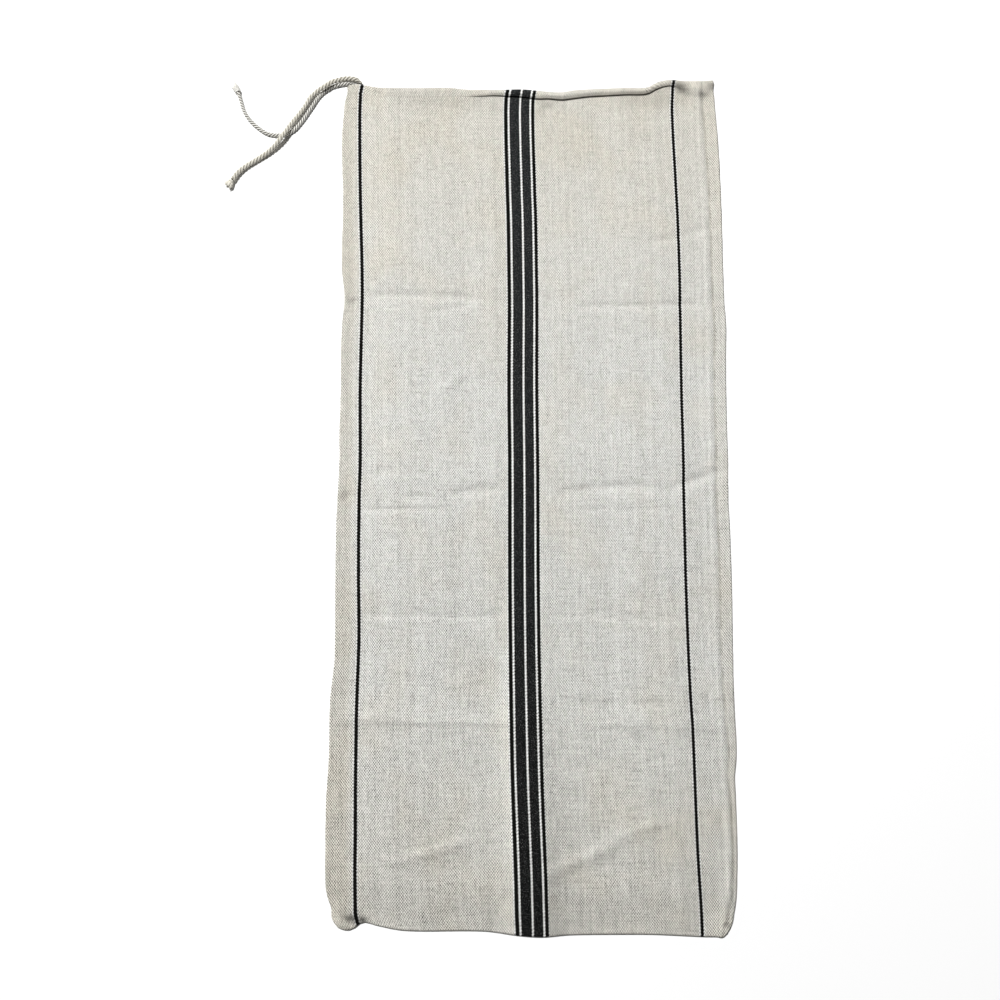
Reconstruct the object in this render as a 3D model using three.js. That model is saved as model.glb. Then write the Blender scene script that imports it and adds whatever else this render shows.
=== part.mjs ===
// An empty feed sack lying flat on its back: one panel of striped twill folded at the bottom,
// sewn up both sides and hemmed at the mouth, with a tie of two twisted cords at the left corner.
// Millimetres, +Z up. x runs across the sack, y from the bottom fold to the mouth.

import * as THREE from 'three';

// Driving sizes of the cloth
const CLOTH = 1.6;              // thickness of the twill
const EDGE_GAP = 0.9;           // air between the two layers at the side and bottom folds
const MIDDLE_GAP = 7.2;         // air between the layers in the middle of the sack
const SIDE_RISE = 75;           // distance over which the front rises from a side fold
const BOTTOM_RISE = 60;         // the same from the bottom fold
const PRESSED_HEM = 1.2;        // how much the hem thickens the back layer that lies on it
const PRESSED_REACH = 12;       // distance below the hem over which that thickening fades
const TURN_ROOM = 0.6;          // room beside the cloth at the inside of a fold's turn
const EDGE_HEIGHT = 2 * CLOTH + EDGE_GAP;
const EDGE_RADIUS = EDGE_HEIGHT / 2;
const RELIEF_RISE = 4 * EDGE_RADIUS;   // creases and swellings fade out this near an edge

// The sides of the sack from the bottom corners to the mouth; seam is how far the right side seam
// lies in from the right edge on the front.
const SIDES = [
  { y: -563, left: -236, right: 240, seam: 19 },
  { y: -550, left: -246.5, right: 247.5, seam: 13 },
  { y: -530, left: -253, right: 252, seam: 8.5 },
  { y: -500, left: -258.5, right: 254, seam: 7.5 },
  { y: -455, left: -260.5, right: 255.5, seam: 8.5 },
  { y: -400, left: -260, right: 256, seam: 10 },
  { y: -290, left: -257, right: 257, seam: 14 },
  { y: -225, left: -251.5, right: 256.5, seam: 15 },
  { y: -120, left: -252.5, right: 259, seam: 16 },
  { y: -20, left: -253, right: 257, seam: 16 },
  { y: 60, left: -252, right: 258, seam: 16 },
  { y: 215, left: -251, right: 260.5, seam: 16 },
  { y: 256, left: -248.5, right: 258.5, seam: 16 },
  { y: 300, left: -253, right: 257.5, seam: 16 },
  { y: 395, left: -253, right: 258, seam: 16.5 },
  { y: 480, left: -256.5, right: 257, seam: 18 },
  { y: 530, left: -254, right: 254.5, seam: 18 },
  { y: 568, left: -249, right: 253, seam: 17 },
];

// The bottom fold from left to right, with the small ear at the left corner.
const BOTTOM_FOLD = [
  { x: -240, y: -556 },
  { x: -229, y: -561.5 },
  { x: -221, y: -559.5 },
  { x: -211, y: -551.5 },
  { x: -192, y: -555 },
  { x: -166, y: -560 },
  { x: -140, y: -562 },
  { x: -60, y: -562.5 },
  { x: -18, y: -567.5 },
  { x: 15, y: -569.3 },
  { x: 110, y: -567 },
  { x: 218, y: -569.3 },
  { x: 240, y: -565 },
];

// The mouth from left to right; roll is the width of the hem turned to the front, lift its height.
const HEM_ROUND = { middle: 0.5, half: 0.62 };   // the hem's round back, as parts of its width
const MOUTH = [
  { x: -251, y: 559.5, roll: 12, lift: 1.2 },
  { x: -236, y: 563.5, roll: 12, lift: 1.2 },
  { x: -206, y: 559, roll: 12.5, lift: 1.4 },
  { x: -110, y: 559, roll: 12, lift: 1.8 },
  { x: -80, y: 555.5, roll: 10, lift: 2.6 },
  { x: -12, y: 555, roll: 10.5, lift: 3.4 },
  { x: 22, y: 551.5, roll: 11.5, lift: 3.8 },
  { x: 44, y: 551.5, roll: 13.5, lift: 3.8 },
  { x: 84, y: 556, roll: 12, lift: 3.6 },
  { x: 162, y: 560.5, roll: 13, lift: 3.4 },
  { x: 180, y: 568, roll: 9.5, lift: 3 },
  { x: 196, y: 569.3, roll: 9, lift: 2.2 },
  { x: 253, y: 567.5, roll: 12, lift: 1.2 },
];

// Storage folds across the sack, from the bottom up: where each crosses the left edge, the middle and
// the right edge, and half its width. RELIEFS has their heights there; a valley is below zero.
const FOLDS = [
  { name: 'lowest', left: -302, middle: -307, right: -309, half: 15 },
  { name: 'lower', left: -174, middle: -180, right: -184, half: 16 },
  { name: 'middle', left: -28, middle: -12, right: 14, half: 14 },
  { name: 'upper', left: 257, middle: 250, right: 252, half: 12 },
];
const RELIEFS = {
  lowest: { left: 1.3, middle: 1, right: 0.3 },
  lower: { left: 1.4, middle: 1.2, right: 1.2 },
  middle: { left: -1.3, middle: -0.9, right: -1.1 },
  upper: { left: -1.1, middle: -0.6, right: -0.8 },
};
const FOLD_REACH = 255;         // x of a fold's left and right entries

// Soft swellings and hollows of the front: centre, half sizes across and along, height.
const SWELLS = [
  { x: -6, y: -290, across: 46, along: 220, height: 3 },
  { x: -231, y: -553, across: 9, along: 7, height: 2.4 },
  { x: -226, y: -543, across: 9, along: 5, height: -1.2 },
  { x: -208, y: -545, across: 10, along: 6, height: -1.4 },
  { x: 222, y: -552, across: 14, along: 12, height: 2.2 },
  { x: 60, y: 520, across: 60, along: 26, height: 1.6 },
  { x: 215, y: 530, across: 40, along: 30, height: 1.2 },
];

// The seam's ridge on the front
const SEAM_HEIGHT = 1.3;
const SEAM_HALF = 5;

// Sizes of the tie
const THICK = { diameter: 6.8, pitch: 16.5 };
const THIN = { diameter: 5.2, pitch: 13 };
const LAY = -1;                                // the plies turn to the left
const SEWN_END = { length: 12, scale: 0.4 };   // the plies thin out where they are sewn in
const PIECE_GAP = 0.3;

// The cords' centre lines from the sack's corner to their knots
const THICK_ROUTE = [
  { x: -230.5, y: 564.2, z: 3.4 },
  { x: -237.5, y: 568.8, z: 4.3 },
  { x: -246.5, y: 570.2, z: 4.8 },
  { x: -255.5, y: 569.5, z: 5.6 },
  { x: -263.5, y: 567, z: 7 },
  { x: -272, y: 563, z: 8.3 },
  { x: -280, y: 557.5, z: 8.7 },
  { x: -288, y: 552.5, z: 7.6 },
  { x: -294, y: 548, z: 6.2 },
  { x: -300, y: 542.5, z: 5.4 },
  { x: -305, y: 534, z: 5 },
  { x: -310, y: 525.5, z: 5 },
  { x: -316, y: 516.5, z: 5.6 },
  { x: -322, y: 507.5, z: 7 },
  { x: -328, y: 498, z: 8.5 },
  { x: -333.5, y: 489, z: 9.1 },
  { x: -339.5, y: 480.5, z: 8.5 },
  { x: -346.5, y: 472, z: 6.6 },
  { x: -355.5, y: 463.5, z: 4.7 },
  { x: -365, y: 456.5, z: 3.8 },
  { x: -375, y: 450, z: 3.6 },
  { x: -384, y: 444, z: 3.7 },
  { x: -391.5, y: 438, z: 4.2 },
  { x: -397.5, y: 431.5, z: 4.9 },
  { x: -403.5, y: 422.5, z: 5.5 },
];
const THIN_ROUTE = [
  { x: -240.5, y: 563.8, z: 3 },
  { x: -248.5, y: 563.8, z: 2.7 },
  { x: -256.5, y: 563, z: 2.7 },
  { x: -265, y: 561.2, z: 2.7 },
  { x: -272.5, y: 558.5, z: 2.7 },
  { x: -279.5, y: 554, z: 2.7 },
  { x: -286, y: 548, z: 2.7 },
  { x: -291.5, y: 541, z: 2.7 },
  { x: -296.5, y: 532.5, z: 2.7 },
  { x: -302, y: 523.5, z: 2.7 },
  { x: -307.5, y: 514.5, z: 2.7 },
  { x: -314, y: 505, z: 2.7 },
  { x: -321, y: 496.5, z: 2.7 },
  { x: -329.5, y: 491, z: 2.7 },
  { x: -340, y: 488.5, z: 2.7 },
  { x: -350.5, y: 488.5, z: 2.7 },
  { x: -359.5, y: 491, z: 2.7 },
  { x: -368, y: 496.5, z: 2.7 },
  { x: -377.5, y: 504.5, z: 2.7 },
  { x: -386, y: 514.5, z: 2.7 },
  { x: -392, y: 525.5, z: 2.7 },
  { x: -396, y: 538, z: 3.4 },
  { x: -399.5, y: 550, z: 4.5 },
];

// Rings of a knotted end from the cord outwards: place along the knot and radius, as parts of the
// knot's length and radius.
const KNOT_RINGS = [
  { along: 0, radius: 0.6 },
  { along: 0.1, radius: 0.86 },
  { along: 0.28, radius: 1 },
  { along: 0.46, radius: 0.94 },
  { along: 0.6, radius: 0.72 },
  { along: 0.72, radius: 0.7 },
  { along: 0.9, radius: 0.86 },
  { along: 1, radius: 0.74 },
];
const THICK_KNOT = { length: 15, radius: 6 };
const THIN_KNOT = { length: 13, radius: 4.8 };

// Small helpers

function smooth(value) {
  const t = Math.min(Math.max(value, 0), 1);
  return t * t * (3 - 2 * t);
}

function bell(distance, half) {
  return Math.exp(-((distance / half) ** 2));
}

// Smooth reading of a table's column at a place along its key column
function read(table, key, column, place) {
  const last = table.length - 1;
  const at = Math.min(Math.max(place, table[0][key]), table[last][key]);
  let i = 0;
  while (i < last - 1 && at > table[i + 1][key]) i += 1;
  const slope = (a, b) => (table[b][column] - table[a][column]) / (table[b][key] - table[a][key]);
  const span = table[i + 1][key] - table[i][key];
  const start = slope(Math.max(i - 1, 0), i + 1) * span;
  const end = slope(i, Math.min(i + 2, last)) * span;
  const t = (at - table[i][key]) / span;
  const rise = table[i + 1][column] - table[i][column];
  return table[i][column] + t * (start + t * (3 * rise - 2 * start - end + t * (start + end - 2 * rise)));
}

// Lines of the sack

const bottomLine = (x) => read(BOTTOM_FOLD, 'x', 'y', x);
const mouthLine = (x) => read(MOUTH, 'x', 'y', x);
const hemWidth = (x) => read(MOUTH, 'x', 'roll', x);

// A curve through three values at the left edge, the middle and the right edge
const across = ({ left, middle, right }) => (x) => {
  const u = x / FOLD_REACH;
  return middle + ((right - left) / 2) * u + ((right + left) / 2 - middle) * u * u;
};

// Height of the folds, swellings and seam ridge above the plain front

function relief(x, y, seamX) {
  let height = SEAM_HEIGHT * bell(x - seamX, SEAM_HALF);
  for (const fold of FOLDS) {
    height += across(RELIEFS[fold.name])(x) * bell(y - across(fold)(x), fold.half);
  }
  for (const swell of SWELLS) {
    height += swell.height * bell(x - swell.x, swell.across) * bell(y - swell.y, swell.along);
  }
  return height;
}

// Underside of the front layer
function ceiling(x, y, edges) {
  const toSide = Math.min(x - edges.left, edges.right - x);
  const toBottom = y - bottomLine(x);
  const open = smooth(toSide / SIDE_RISE) * smooth(toBottom / BOTTOM_RISE);
  const free = smooth(toSide / RELIEF_RISE) * smooth(toBottom / RELIEF_RISE);
  return CLOTH + EDGE_GAP + open * (MIDDLE_GAP - EDGE_GAP) + free * relief(x, y, edges.seamX);
}

// Height of the rolled hem on the front, by how far a place lies below the mouth
function hemLift(x, toMouth) {
  const part = toMouth / hemWidth(x);
  const round = Math.sqrt(Math.max(0, 1 - ((part - HEM_ROUND.middle) / HEM_ROUND.half) ** 2));
  return read(MOUTH, 'x', 'lift', x) * round;
}

// Quarter round of a fold, from 0 at its edge to 1 at its full height
function foldRound(distance) {
  const t = Math.min(Math.max(distance / EDGE_RADIUS, 0), 1);
  return Math.sqrt(1 - (1 - t) ** 2);
}

function frontTop(x, y, edges) {
  const toEdge = Math.min(x - edges.left, edges.right - x, y - bottomLine(x));
  const toMouth = mouthLine(x) - y;
  const under = ceiling(x, y, edges);
  const top = under + CLOTH + hemLift(x, toMouth);
  if (toMouth < PIECE_GAP) return (under + top) / 2;
  return EDGE_RADIUS + (top - EDGE_RADIUS) * foldRound(toEdge);
}

function backBottom(x, y, edges) {
  const toEdge = Math.min(x - edges.left, edges.right - x, y - bottomLine(x));
  const rim = mouthLine(x) - y < PIECE_GAP ? (CLOTH + PRESSED_HEM) / 2 : 0;
  return Math.max(rim, EDGE_RADIUS * (1 - foldRound(toEdge)));
}

function backTop(x, y) {
  const toHem = mouthLine(x) - hemWidth(x) - y;
  return CLOTH + PRESSED_HEM * smooth(1 - toHem / PRESSED_REACH);
}

// Rows of the sack, each a line across it, closer together beside the folds and the hem

const COLUMN_STEP = 20;
const ROUND_STEPS = [0.7, EDGE_RADIUS];            // columns and rows of a fold's round
const LEFT_STEPS = [8, 20, 38];                    // columns beside the left fold
const SEAM_COLUMNS = [-2, -1, 0];                  // columns at the seam, in half seam widths
const BACK_COLUMNS = 5;
const INSIDE_START = CLOTH + TURN_ROOM;
const FOLD_ROWS = { lowest: 11, lower: 6, middle: 7, upper: 9 };   // steps up to each fold
const MOUTH_ROWS = 9;                              // steps from the upper fold to the hem
const HEM_ROWS = [1.14, 0.98, 0.7, 0.3, 0.07, 0];  // rows of the hem, in hem widths below the mouth
const INSIDE_HEM_ROWS = [1.5, 0.7, 0.05];

function rowsBetween(lower, upper, count) {
  const rows = [];
  for (let k = 1; k < count; k += 1) {
    const part = 0.5 - 0.5 * Math.cos((Math.PI * k) / count);
    rows.push((x) => lower(x) + (upper(x) - lower(x)) * part);
  }
  return rows;
}

function sackRows(starts, hemRows) {
  const hem = hemRows.map((part) => (x) => mouthLine(x) - part * hemWidth(x));
  const rows = starts.map((start) => (x) => bottomLine(x) + start);
  for (const fold of FOLDS) {
    rows.push(...rowsBetween(rows[rows.length - 1], across(fold), FOLD_ROWS[fold.name]), across(fold));
  }
  rows.push(...rowsBetween(rows[rows.length - 1], hem[0], MOUTH_ROWS), ...hem);
  return rows;
}

function rowEdges(row) {
  const yLeft = row(SIDES[0].left);
  const yRight = row(SIDES[0].right);
  const right = read(SIDES, 'y', 'right', yRight);
  return {
    left: read(SIDES, 'y', 'left', yLeft),
    right,
    seamX: right - read(SIDES, 'y', 'seam', yRight),
  };
}

// x places of a row's front columns; those on the right follow the seam
function frontColumns(edges, inset, leftSteps, rightSteps) {
  const left = edges.left + inset;
  const right = edges.right - inset;
  const seam = SEAM_COLUMNS.map((k) => edges.seamX + k * SEAM_HALF);
  const beside = (edges.seamX + right - EDGE_RADIUS) / 2;
  const first = left + leftSteps[leftSteps.length - 1];
  const count = Math.round((SIDES[0].right - SIDES[0].left) / COLUMN_STEP);
  const middle = [];
  for (let k = 1; k < count; k += 1) middle.push(first + ((seam[0] - first) * k) / count);
  const start = [left, ...leftSteps.map((step) => left + step)];
  const end = [...rightSteps.map((step) => right - step).reverse(), right];
  return [...start, ...middle, ...seam, beside, ...end];
}

// Joins two lines of points that start and end at the same sides into a strip of triangles
function zip(points, lower, upper, faces) {
  let a = 0;
  let b = 0;
  while (a < lower.length - 1 || b < upper.length - 1) {
    const aNext = a < lower.length - 1 ? points[lower[a + 1]].x : Infinity;
    const bNext = b < upper.length - 1 ? points[upper[b + 1]].x : Infinity;
    const corner = aNext <= bNext ? lower[a + 1] : upper[b + 1];
    const face = [lower[a], corner, upper[b]];
    if (new Set(face).size === 3) faces.push(face);
    if (aNext <= bNext) a += 1;
    else b += 1;
  }
}

function solidMesh(name, points, faces, material) {
  const geometry = new THREE.BufferGeometry();
  geometry.setAttribute('position', new THREE.Float32BufferAttribute(points.flatMap((p) => p.toArray()), 3));
  geometry.setIndex(faces.flat());
  geometry.computeVertexNormals();
  const mesh = new THREE.Mesh(geometry, material);
  mesh.name = name;
  return mesh;
}

// One skin of the sack: a front and a back line of points for each row, sharing their two ends
function sackSkin(points, rows, inset, roundSteps, heights) {
  return rows.map((row) => {
    const edges = rowEdges(row);
    const place = (x, height) => points.push(new THREE.Vector3(x, row(x), height(x, row(x), edges))) - 1;
    const xs = frontColumns(edges, inset, [...roundSteps, ...LEFT_STEPS], roundSteps);
    const front = xs.map((x) => place(x, heights.front));
    const span = edges.right - edges.left - 2 * inset;
    const inner = Array.from({ length: BACK_COLUMNS }, (_, k) => (span * (k + 0.5)) / BACK_COLUMNS);
    const offsets = [...roundSteps, ...inner, ...roundSteps.map((step) => span - step).reverse()];
    const back = offsets.map((offset) => place(edges.left + inset + offset, heights.back));
    return { front, back: [front[0], ...back, front[front.length - 1]] };
  });
}

function skinFaces(skin, faces) {
  for (let j = 0; j + 1 < skin.length; j += 1) {
    for (const side of ['front', 'back']) {
      const low = skin[j][side];
      const high = skin[j + 1][side];
      for (let i = 0; i + 1 < low.length; i += 1) {
        const quad = [[low[i], low[i + 1], high[i + 1]], [low[i], high[i + 1], high[i]]];
        faces.push(...(side === 'front' ? quad : quad.map((face) => face.reverse())));
      }
    }
  }
}

function sackCloth(material) {
  const points = [];
  const faces = [];
  const outsideRows = sackRows([0, ...ROUND_STEPS], HEM_ROWS);
  const outside = sackSkin(points, outsideRows, 0, ROUND_STEPS, { front: frontTop, back: backBottom });
  skinFaces(outside, faces);
  zip(points, outside[0].back, outside[0].front, faces);

  const insideRows = sackRows([INSIDE_START], INSIDE_HEM_ROWS);
  const insideFaces = [];
  const rise = (x, y, edges) => {
    const toEdge = Math.min(x - edges.left, edges.right - x) - INSIDE_START;
    return toEdge < PIECE_GAP ? EDGE_RADIUS : ceiling(x, y, edges);
  };
  const inside = sackSkin(points, insideRows, INSIDE_START, [], { front: rise, back: backTop });
  skinFaces(inside, insideFaces);
  zip(points, inside[0].back, inside[0].front, insideFaces);
  faces.push(...insideFaces.map((face) => face.reverse()));

  const outerRim = outside[outside.length - 1];
  const innerRim = inside[inside.length - 1];
  zip(points, outerRim.front, innerRim.front, faces);
  zip(points, innerRim.back, outerRim.back, faces);
  return solidMesh('sack_cloth', points, faces, material);
}

// Twisted cords

const PLIES = 3;
const STEPS_PER_TURN = 7;
const PLY_OUTLINE = [
  { turn: -60, radius: 0.74 },
  { turn: -23, radius: 1 },
  { turn: 23, radius: 1 },
];

function plyRing(points, centre, normal, binormal, radius, twist) {
  const ring = [];
  for (let ply = 0; ply < PLIES; ply += 1) {
    for (const corner of PLY_OUTLINE) {
      const angle = twist + (ply * 2 * Math.PI) / PLIES + THREE.MathUtils.degToRad(corner.turn);
      const point = centre.clone();
      point.addScaledVector(normal, radius * corner.radius * Math.cos(angle));
      point.addScaledVector(binormal, radius * corner.radius * Math.sin(angle));
      ring.push(points.push(point) - 1);
    }
  }
  return ring;
}

// Closes a row of rings into a solid, with a flat fan at each end
function ringFaces(points, rings, ends) {
  const faces = [];
  const next = (i) => (i + 1) % rings[0].length;
  for (let j = 0; j + 1 < rings.length; j += 1) {
    rings[j].forEach((corner, i) => {
      faces.push([corner, rings[j][next(i)], rings[j + 1][next(i)]]);
      faces.push([corner, rings[j + 1][next(i)], rings[j + 1][i]]);
    });
  }
  const first = points.push(ends[0]) - 1;
  const last = points.push(ends[1]) - 1;
  const lastRing = rings[rings.length - 1];
  rings[0].forEach((corner, i) => faces.push([first, rings[0][next(i)], corner]));
  lastRing.forEach((corner, i) => faces.push([last, corner, lastRing[next(i)]]));
  return faces;
}

function routeCurve(route) {
  const points = route.map((p) => new THREE.Vector3(p.x, p.y, p.z));
  return new THREE.CatmullRomCurve3(points, false, 'centripetal');
}

function twistedCord(name, route, size, material) {
  const curve = routeCurve(route);
  const length = curve.getLength();
  const steps = Math.round((length / size.pitch) * STEPS_PER_TURN);
  const frames = curve.computeFrenetFrames(steps, false);
  const points = [];
  const rings = [];
  for (let j = 0; j <= steps; j += 1) {
    const along = (length * j) / steps;
    const sewn = SEWN_END.scale + (1 - SEWN_END.scale) * smooth(along / SEWN_END.length);
    const radius = (size.diameter / 2) * sewn;
    const twist = (LAY * 2 * Math.PI * along) / size.pitch;
    const centre = curve.getPointAt(j / steps);
    rings.push(plyRing(points, centre, frames.normals[j], frames.binormals[j], radius, twist));
  }
  const faces = ringFaces(points, rings, [curve.getPointAt(0), curve.getPointAt(1)]);
  return solidMesh(name, points, faces, material);
}

// A knotted end that goes on from a cord in the cord's last direction and lies on the floor
function knottedEnd(name, route, size, knot, material) {
  const curve = routeCurve(route);
  const heading = curve.getTangentAt(1);
  const side = new THREE.Vector3(-heading.y, heading.x, 0).normalize();
  const up = new THREE.Vector3().crossVectors(heading, side);
  const start = curve.getPointAt(1).addScaledVector(heading, PIECE_GAP);
  const tip = start.clone().addScaledVector(heading, knot.length);
  const points = [];
  const rings = KNOT_RINGS.map((ring) => {
    const centre = start.clone().lerp(tip, ring.along);
    const twist = (LAY * 2 * Math.PI * ring.along * knot.length) / size.pitch;
    return plyRing(points, centre, side, up, knot.radius * ring.radius, twist);
  });
  const faces = ringFaces(points, rings, [start, tip]);
  return solidMesh(name, points, faces, material);
}

// The sack

const twill = new THREE.MeshStandardMaterial({ color: 0xd3d1c8, roughness: 0.95, metalness: 0 });
const thickYarn = new THREE.MeshStandardMaterial({ color: 0xc9c4b5, roughness: 0.95, metalness: 0 });
const thinYarn = new THREE.MeshStandardMaterial({ color: 0xd0ccbf, roughness: 0.95, metalness: 0 });

const tie = new THREE.Group();
tie.add(twistedCord('tie_cord_thick', THICK_ROUTE, THICK, thickYarn));
tie.add(knottedEnd('tie_knot_thick', THICK_ROUTE, THICK, THICK_KNOT, thickYarn));
tie.add(twistedCord('tie_cord_thin', THIN_ROUTE, THIN, thinYarn));
tie.add(knottedEnd('tie_knot_thin', THIN_ROUTE, THIN, THIN_KNOT, thinYarn));

const sack = new THREE.Group();
sack.add(sackCloth(twill));
sack.add(tie);

export default sack;
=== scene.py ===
"""Looks of an empty striped feed sack: its twill, hem, seams and stitches, and the tie at its mouth.

Sizes are in metres in the part's own frame: x runs across the sack, y from the bottom fold to the mouth,
and z up from the surface on which the sack lies.
"""

import logging
import math
import random
from bisect import bisect_right
from collections.abc import Callable, Sequence
from dataclasses import dataclass, field
from enum import Enum
from typing import NamedTuple, TypeVar, Union

import bmesh
import bpy
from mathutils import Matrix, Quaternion, Vector, noise


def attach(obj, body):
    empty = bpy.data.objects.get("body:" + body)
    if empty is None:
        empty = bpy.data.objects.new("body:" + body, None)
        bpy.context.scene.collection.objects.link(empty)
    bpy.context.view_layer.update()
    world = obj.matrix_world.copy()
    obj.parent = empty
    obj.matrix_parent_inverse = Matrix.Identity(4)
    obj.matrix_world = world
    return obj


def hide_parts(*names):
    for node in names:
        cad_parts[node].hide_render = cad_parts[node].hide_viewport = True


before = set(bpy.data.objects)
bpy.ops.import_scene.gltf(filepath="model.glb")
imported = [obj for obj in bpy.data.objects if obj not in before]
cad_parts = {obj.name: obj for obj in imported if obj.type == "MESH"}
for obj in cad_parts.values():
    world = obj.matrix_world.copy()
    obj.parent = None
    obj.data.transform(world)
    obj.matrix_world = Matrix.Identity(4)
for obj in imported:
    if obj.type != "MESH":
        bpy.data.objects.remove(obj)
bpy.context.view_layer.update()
BODY = "root"
MM = 0.001
MATT = {"Roughness": 0.95, "Specular IOR Level": 0.1}
# A ply's way round starts at 0 in the UV map, and that of a loose fibre or a wrap here.
LOOSE_TURN = 10.0
# The plies of both cords turn to the left round each other.
LEFT_LAY = -1
ROUTE_FINENESS = 16

Row = TypeVar("Row")
Pair = tuple[float, float]
Point = tuple[float, float, float]
Colour = tuple[float, float, float, float]

log = logging.getLogger("feed_sack")


class Side(Enum):
    """The two layers of the sack; the value is the way in which a layer faces along z."""

    FRONT = 1
    BACK = -1


class SideRow(NamedTuple):
    """The side edges at one place along the sack, and how far the side seam lies in from its edge."""

    y: float
    left: float
    right: float
    seam: float


class BottomRow(NamedTuple):
    """One point of the bottom fold."""

    x: float
    y: float


class MouthRow(NamedTuple):
    """One point of the mouth, with the width and the height of its hem."""

    x: float
    y: float
    roll: float
    lift: float


class FoldRow(NamedTuple):
    """A storage fold across the sack: where it lies and how high it is at the left, middle and right."""

    left: float
    middle: float
    right: float
    half: float
    left_height: float
    middle_height: float
    right_height: float


class Swell(NamedTuple):
    """A soft swelling, or a hollow where the height is below zero."""

    x: float
    y: float
    across: float
    along: float
    height: float


class Crease(NamedTuple):
    """A soft ridge along a few points, or a trough where the height is below zero.

    Its slopes towards the mouth and towards the bottom have widths of their own.
    """

    points: tuple[Pair, ...]
    height: float
    above: float
    below: float

    def near(self, y: float) -> bool:
        """Tells whether a place along the sack lies close enough to be raised or lowered."""
        reach = 3 * max(self.above, self.below)
        low = min(point[1] for point in self.points)
        high = max(point[1] for point in self.points)
        return low - reach < y < high + reach


class PaintedShade(NamedTuple):
    """A patch of painted shade, such as in a hollow, a crease or under the hem, or of painted light where the
    strength is below zero.
    """

    x: float
    y: float
    across: float
    along: float
    strength: float


class Spot(NamedTuple):
    """A place in the cloth's own measure, and the painted shade on it, painted light below zero."""

    s: float
    v: float
    painted_shading: float


class StripeRow(NamedTuple):
    """Where the two thin lines and the middle of the band cross the front at one place along it."""

    y: float
    left: float
    middle: float
    right: float


class HemPoint(NamedTuple):
    """A point of a cut through the hem: below the mouth, out from the layer, and along the cloth."""

    down: float
    out: float
    along: float


class Edges(NamedTuple):
    """The side edges and the side seam of one row across the sack."""

    left: float
    right: float
    seam: float


def table(kind: type[Row], *rows: tuple) -> tuple[Row, ...]:
    """Makes the rows of a table.

    Args:
        kind: What a row is.
        rows: The values of each row, in the order of its fields.

    Returns:
        The rows.
    """
    return tuple(kind(*row) for row in rows)


SIDES = table(
    SideRow,
    (-0.563, -0.2370, 0.2415, 0.0110), (-0.557, -0.2447, 0.2450, 0.0095), (-0.549, -0.2490, 0.2479, 0.0085),
    (-0.539, -0.2495, 0.2496, 0.0078), (-0.530, -0.2526, 0.2515, 0.0072), (-0.522, -0.2552, 0.2528, 0.0066),
    (-0.508, -0.2576, 0.2538, 0.0062), (-0.465, -0.2586, 0.2556, 0.0066), (-0.405, -0.2590, 0.2556, 0.0080),
    (-0.375, -0.2575, 0.2552, 0.0092), (-0.342, -0.2565, 0.2582, 0.0108), (-0.279, -0.2565, 0.2570, 0.0135),
    (-0.225, -0.2520, 0.2570, 0.0150), (-0.130, -0.2530, 0.2582, 0.0160), (-0.055, -0.2535, 0.2578, 0.0160),
    (-0.020, -0.2525, 0.2568, 0.0160), (0.040, -0.2509, 0.2580, 0.0160), (0.062, -0.2518, 0.2578, 0.0160),
    (0.130, -0.2509, 0.2582, 0.0160), (0.175, -0.2518, 0.2592, 0.0160), (0.215, -0.2512, 0.2606, 0.0160),
    (0.256, -0.2485, 0.2590, 0.0160), (0.300, -0.2530, 0.2588, 0.0160), (0.395, -0.2530, 0.2588, 0.0165),
    (0.480, -0.2563, 0.2570, 0.0180), (0.535, -0.2535, 0.2538, 0.0180), (0.568, -0.2490, 0.2532, 0.0170),
)
BOTTOM_FOLD = table(
    BottomRow,
    (-0.243, -0.5562), (-0.239, -0.5588), (-0.230, -0.5610), (-0.221, -0.5584), (-0.211, -0.5515),
    (-0.192, -0.5555), (-0.166, -0.5605), (-0.140, -0.5618), (-0.060, -0.5620), (-0.018, -0.5675),
    (0.012, -0.5692), (0.045, -0.5665), (0.110, -0.5657), (0.150, -0.5660), (0.215, -0.5688),
    (0.2265, -0.5688), (0.2332, -0.5698), (0.2388, -0.5664), (0.2415, -0.5618),
)
MOUTH = table(
    MouthRow,
    (-0.251, 0.5590, 0.0120, 0.0012), (-0.236, 0.5610, 0.0120, 0.0012), (-0.206, 0.5546, 0.0125, 0.0012),
    (-0.160, 0.5522, 0.0125, 0.0012), (-0.110, 0.5525, 0.0120, 0.0014), (-0.085, 0.5500, 0.0095, 0.0019),
    (-0.066, 0.5500, 0.0092, 0.0024), (-0.048, 0.5496, 0.0080, 0.0028), (-0.030, 0.5498, 0.0092, 0.0034),
    (-0.012, 0.5503, 0.0105, 0.0036), (0.012, 0.5478, 0.0120, 0.0038), (0.024, 0.5460, 0.0098, 0.0040),
    (0.044, 0.5454, 0.0106, 0.0042), (0.058, 0.5482, 0.0114, 0.0042), (0.080, 0.5500, 0.0102, 0.0040),
    (0.130, 0.5518, 0.0094, 0.0038), (0.160, 0.5518, 0.0088, 0.0036), (0.175, 0.5604, 0.0094, 0.0032),
    (0.188, 0.5640, 0.0086, 0.0030), (0.198, 0.5652, 0.0090, 0.0022), (0.214, 0.5646, 0.0110, 0.0012),
    (0.253, 0.5672, 0.0120, 0.0012),
)
FOLDS = table(
    FoldRow,
    (-0.302, -0.307, -0.309, 0.015, 0.0010, 0.0008, 0.0003),
    (-0.174, -0.180, -0.184, 0.016, 0.0003, 0.0003, 0.0003),
    (-0.028, -0.012, 0.014, 0.014, -0.0010, -0.0008, -0.0009),
    (0.257, 0.250, 0.252, 0.012, -0.0008, -0.0005, -0.0006),
)
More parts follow.
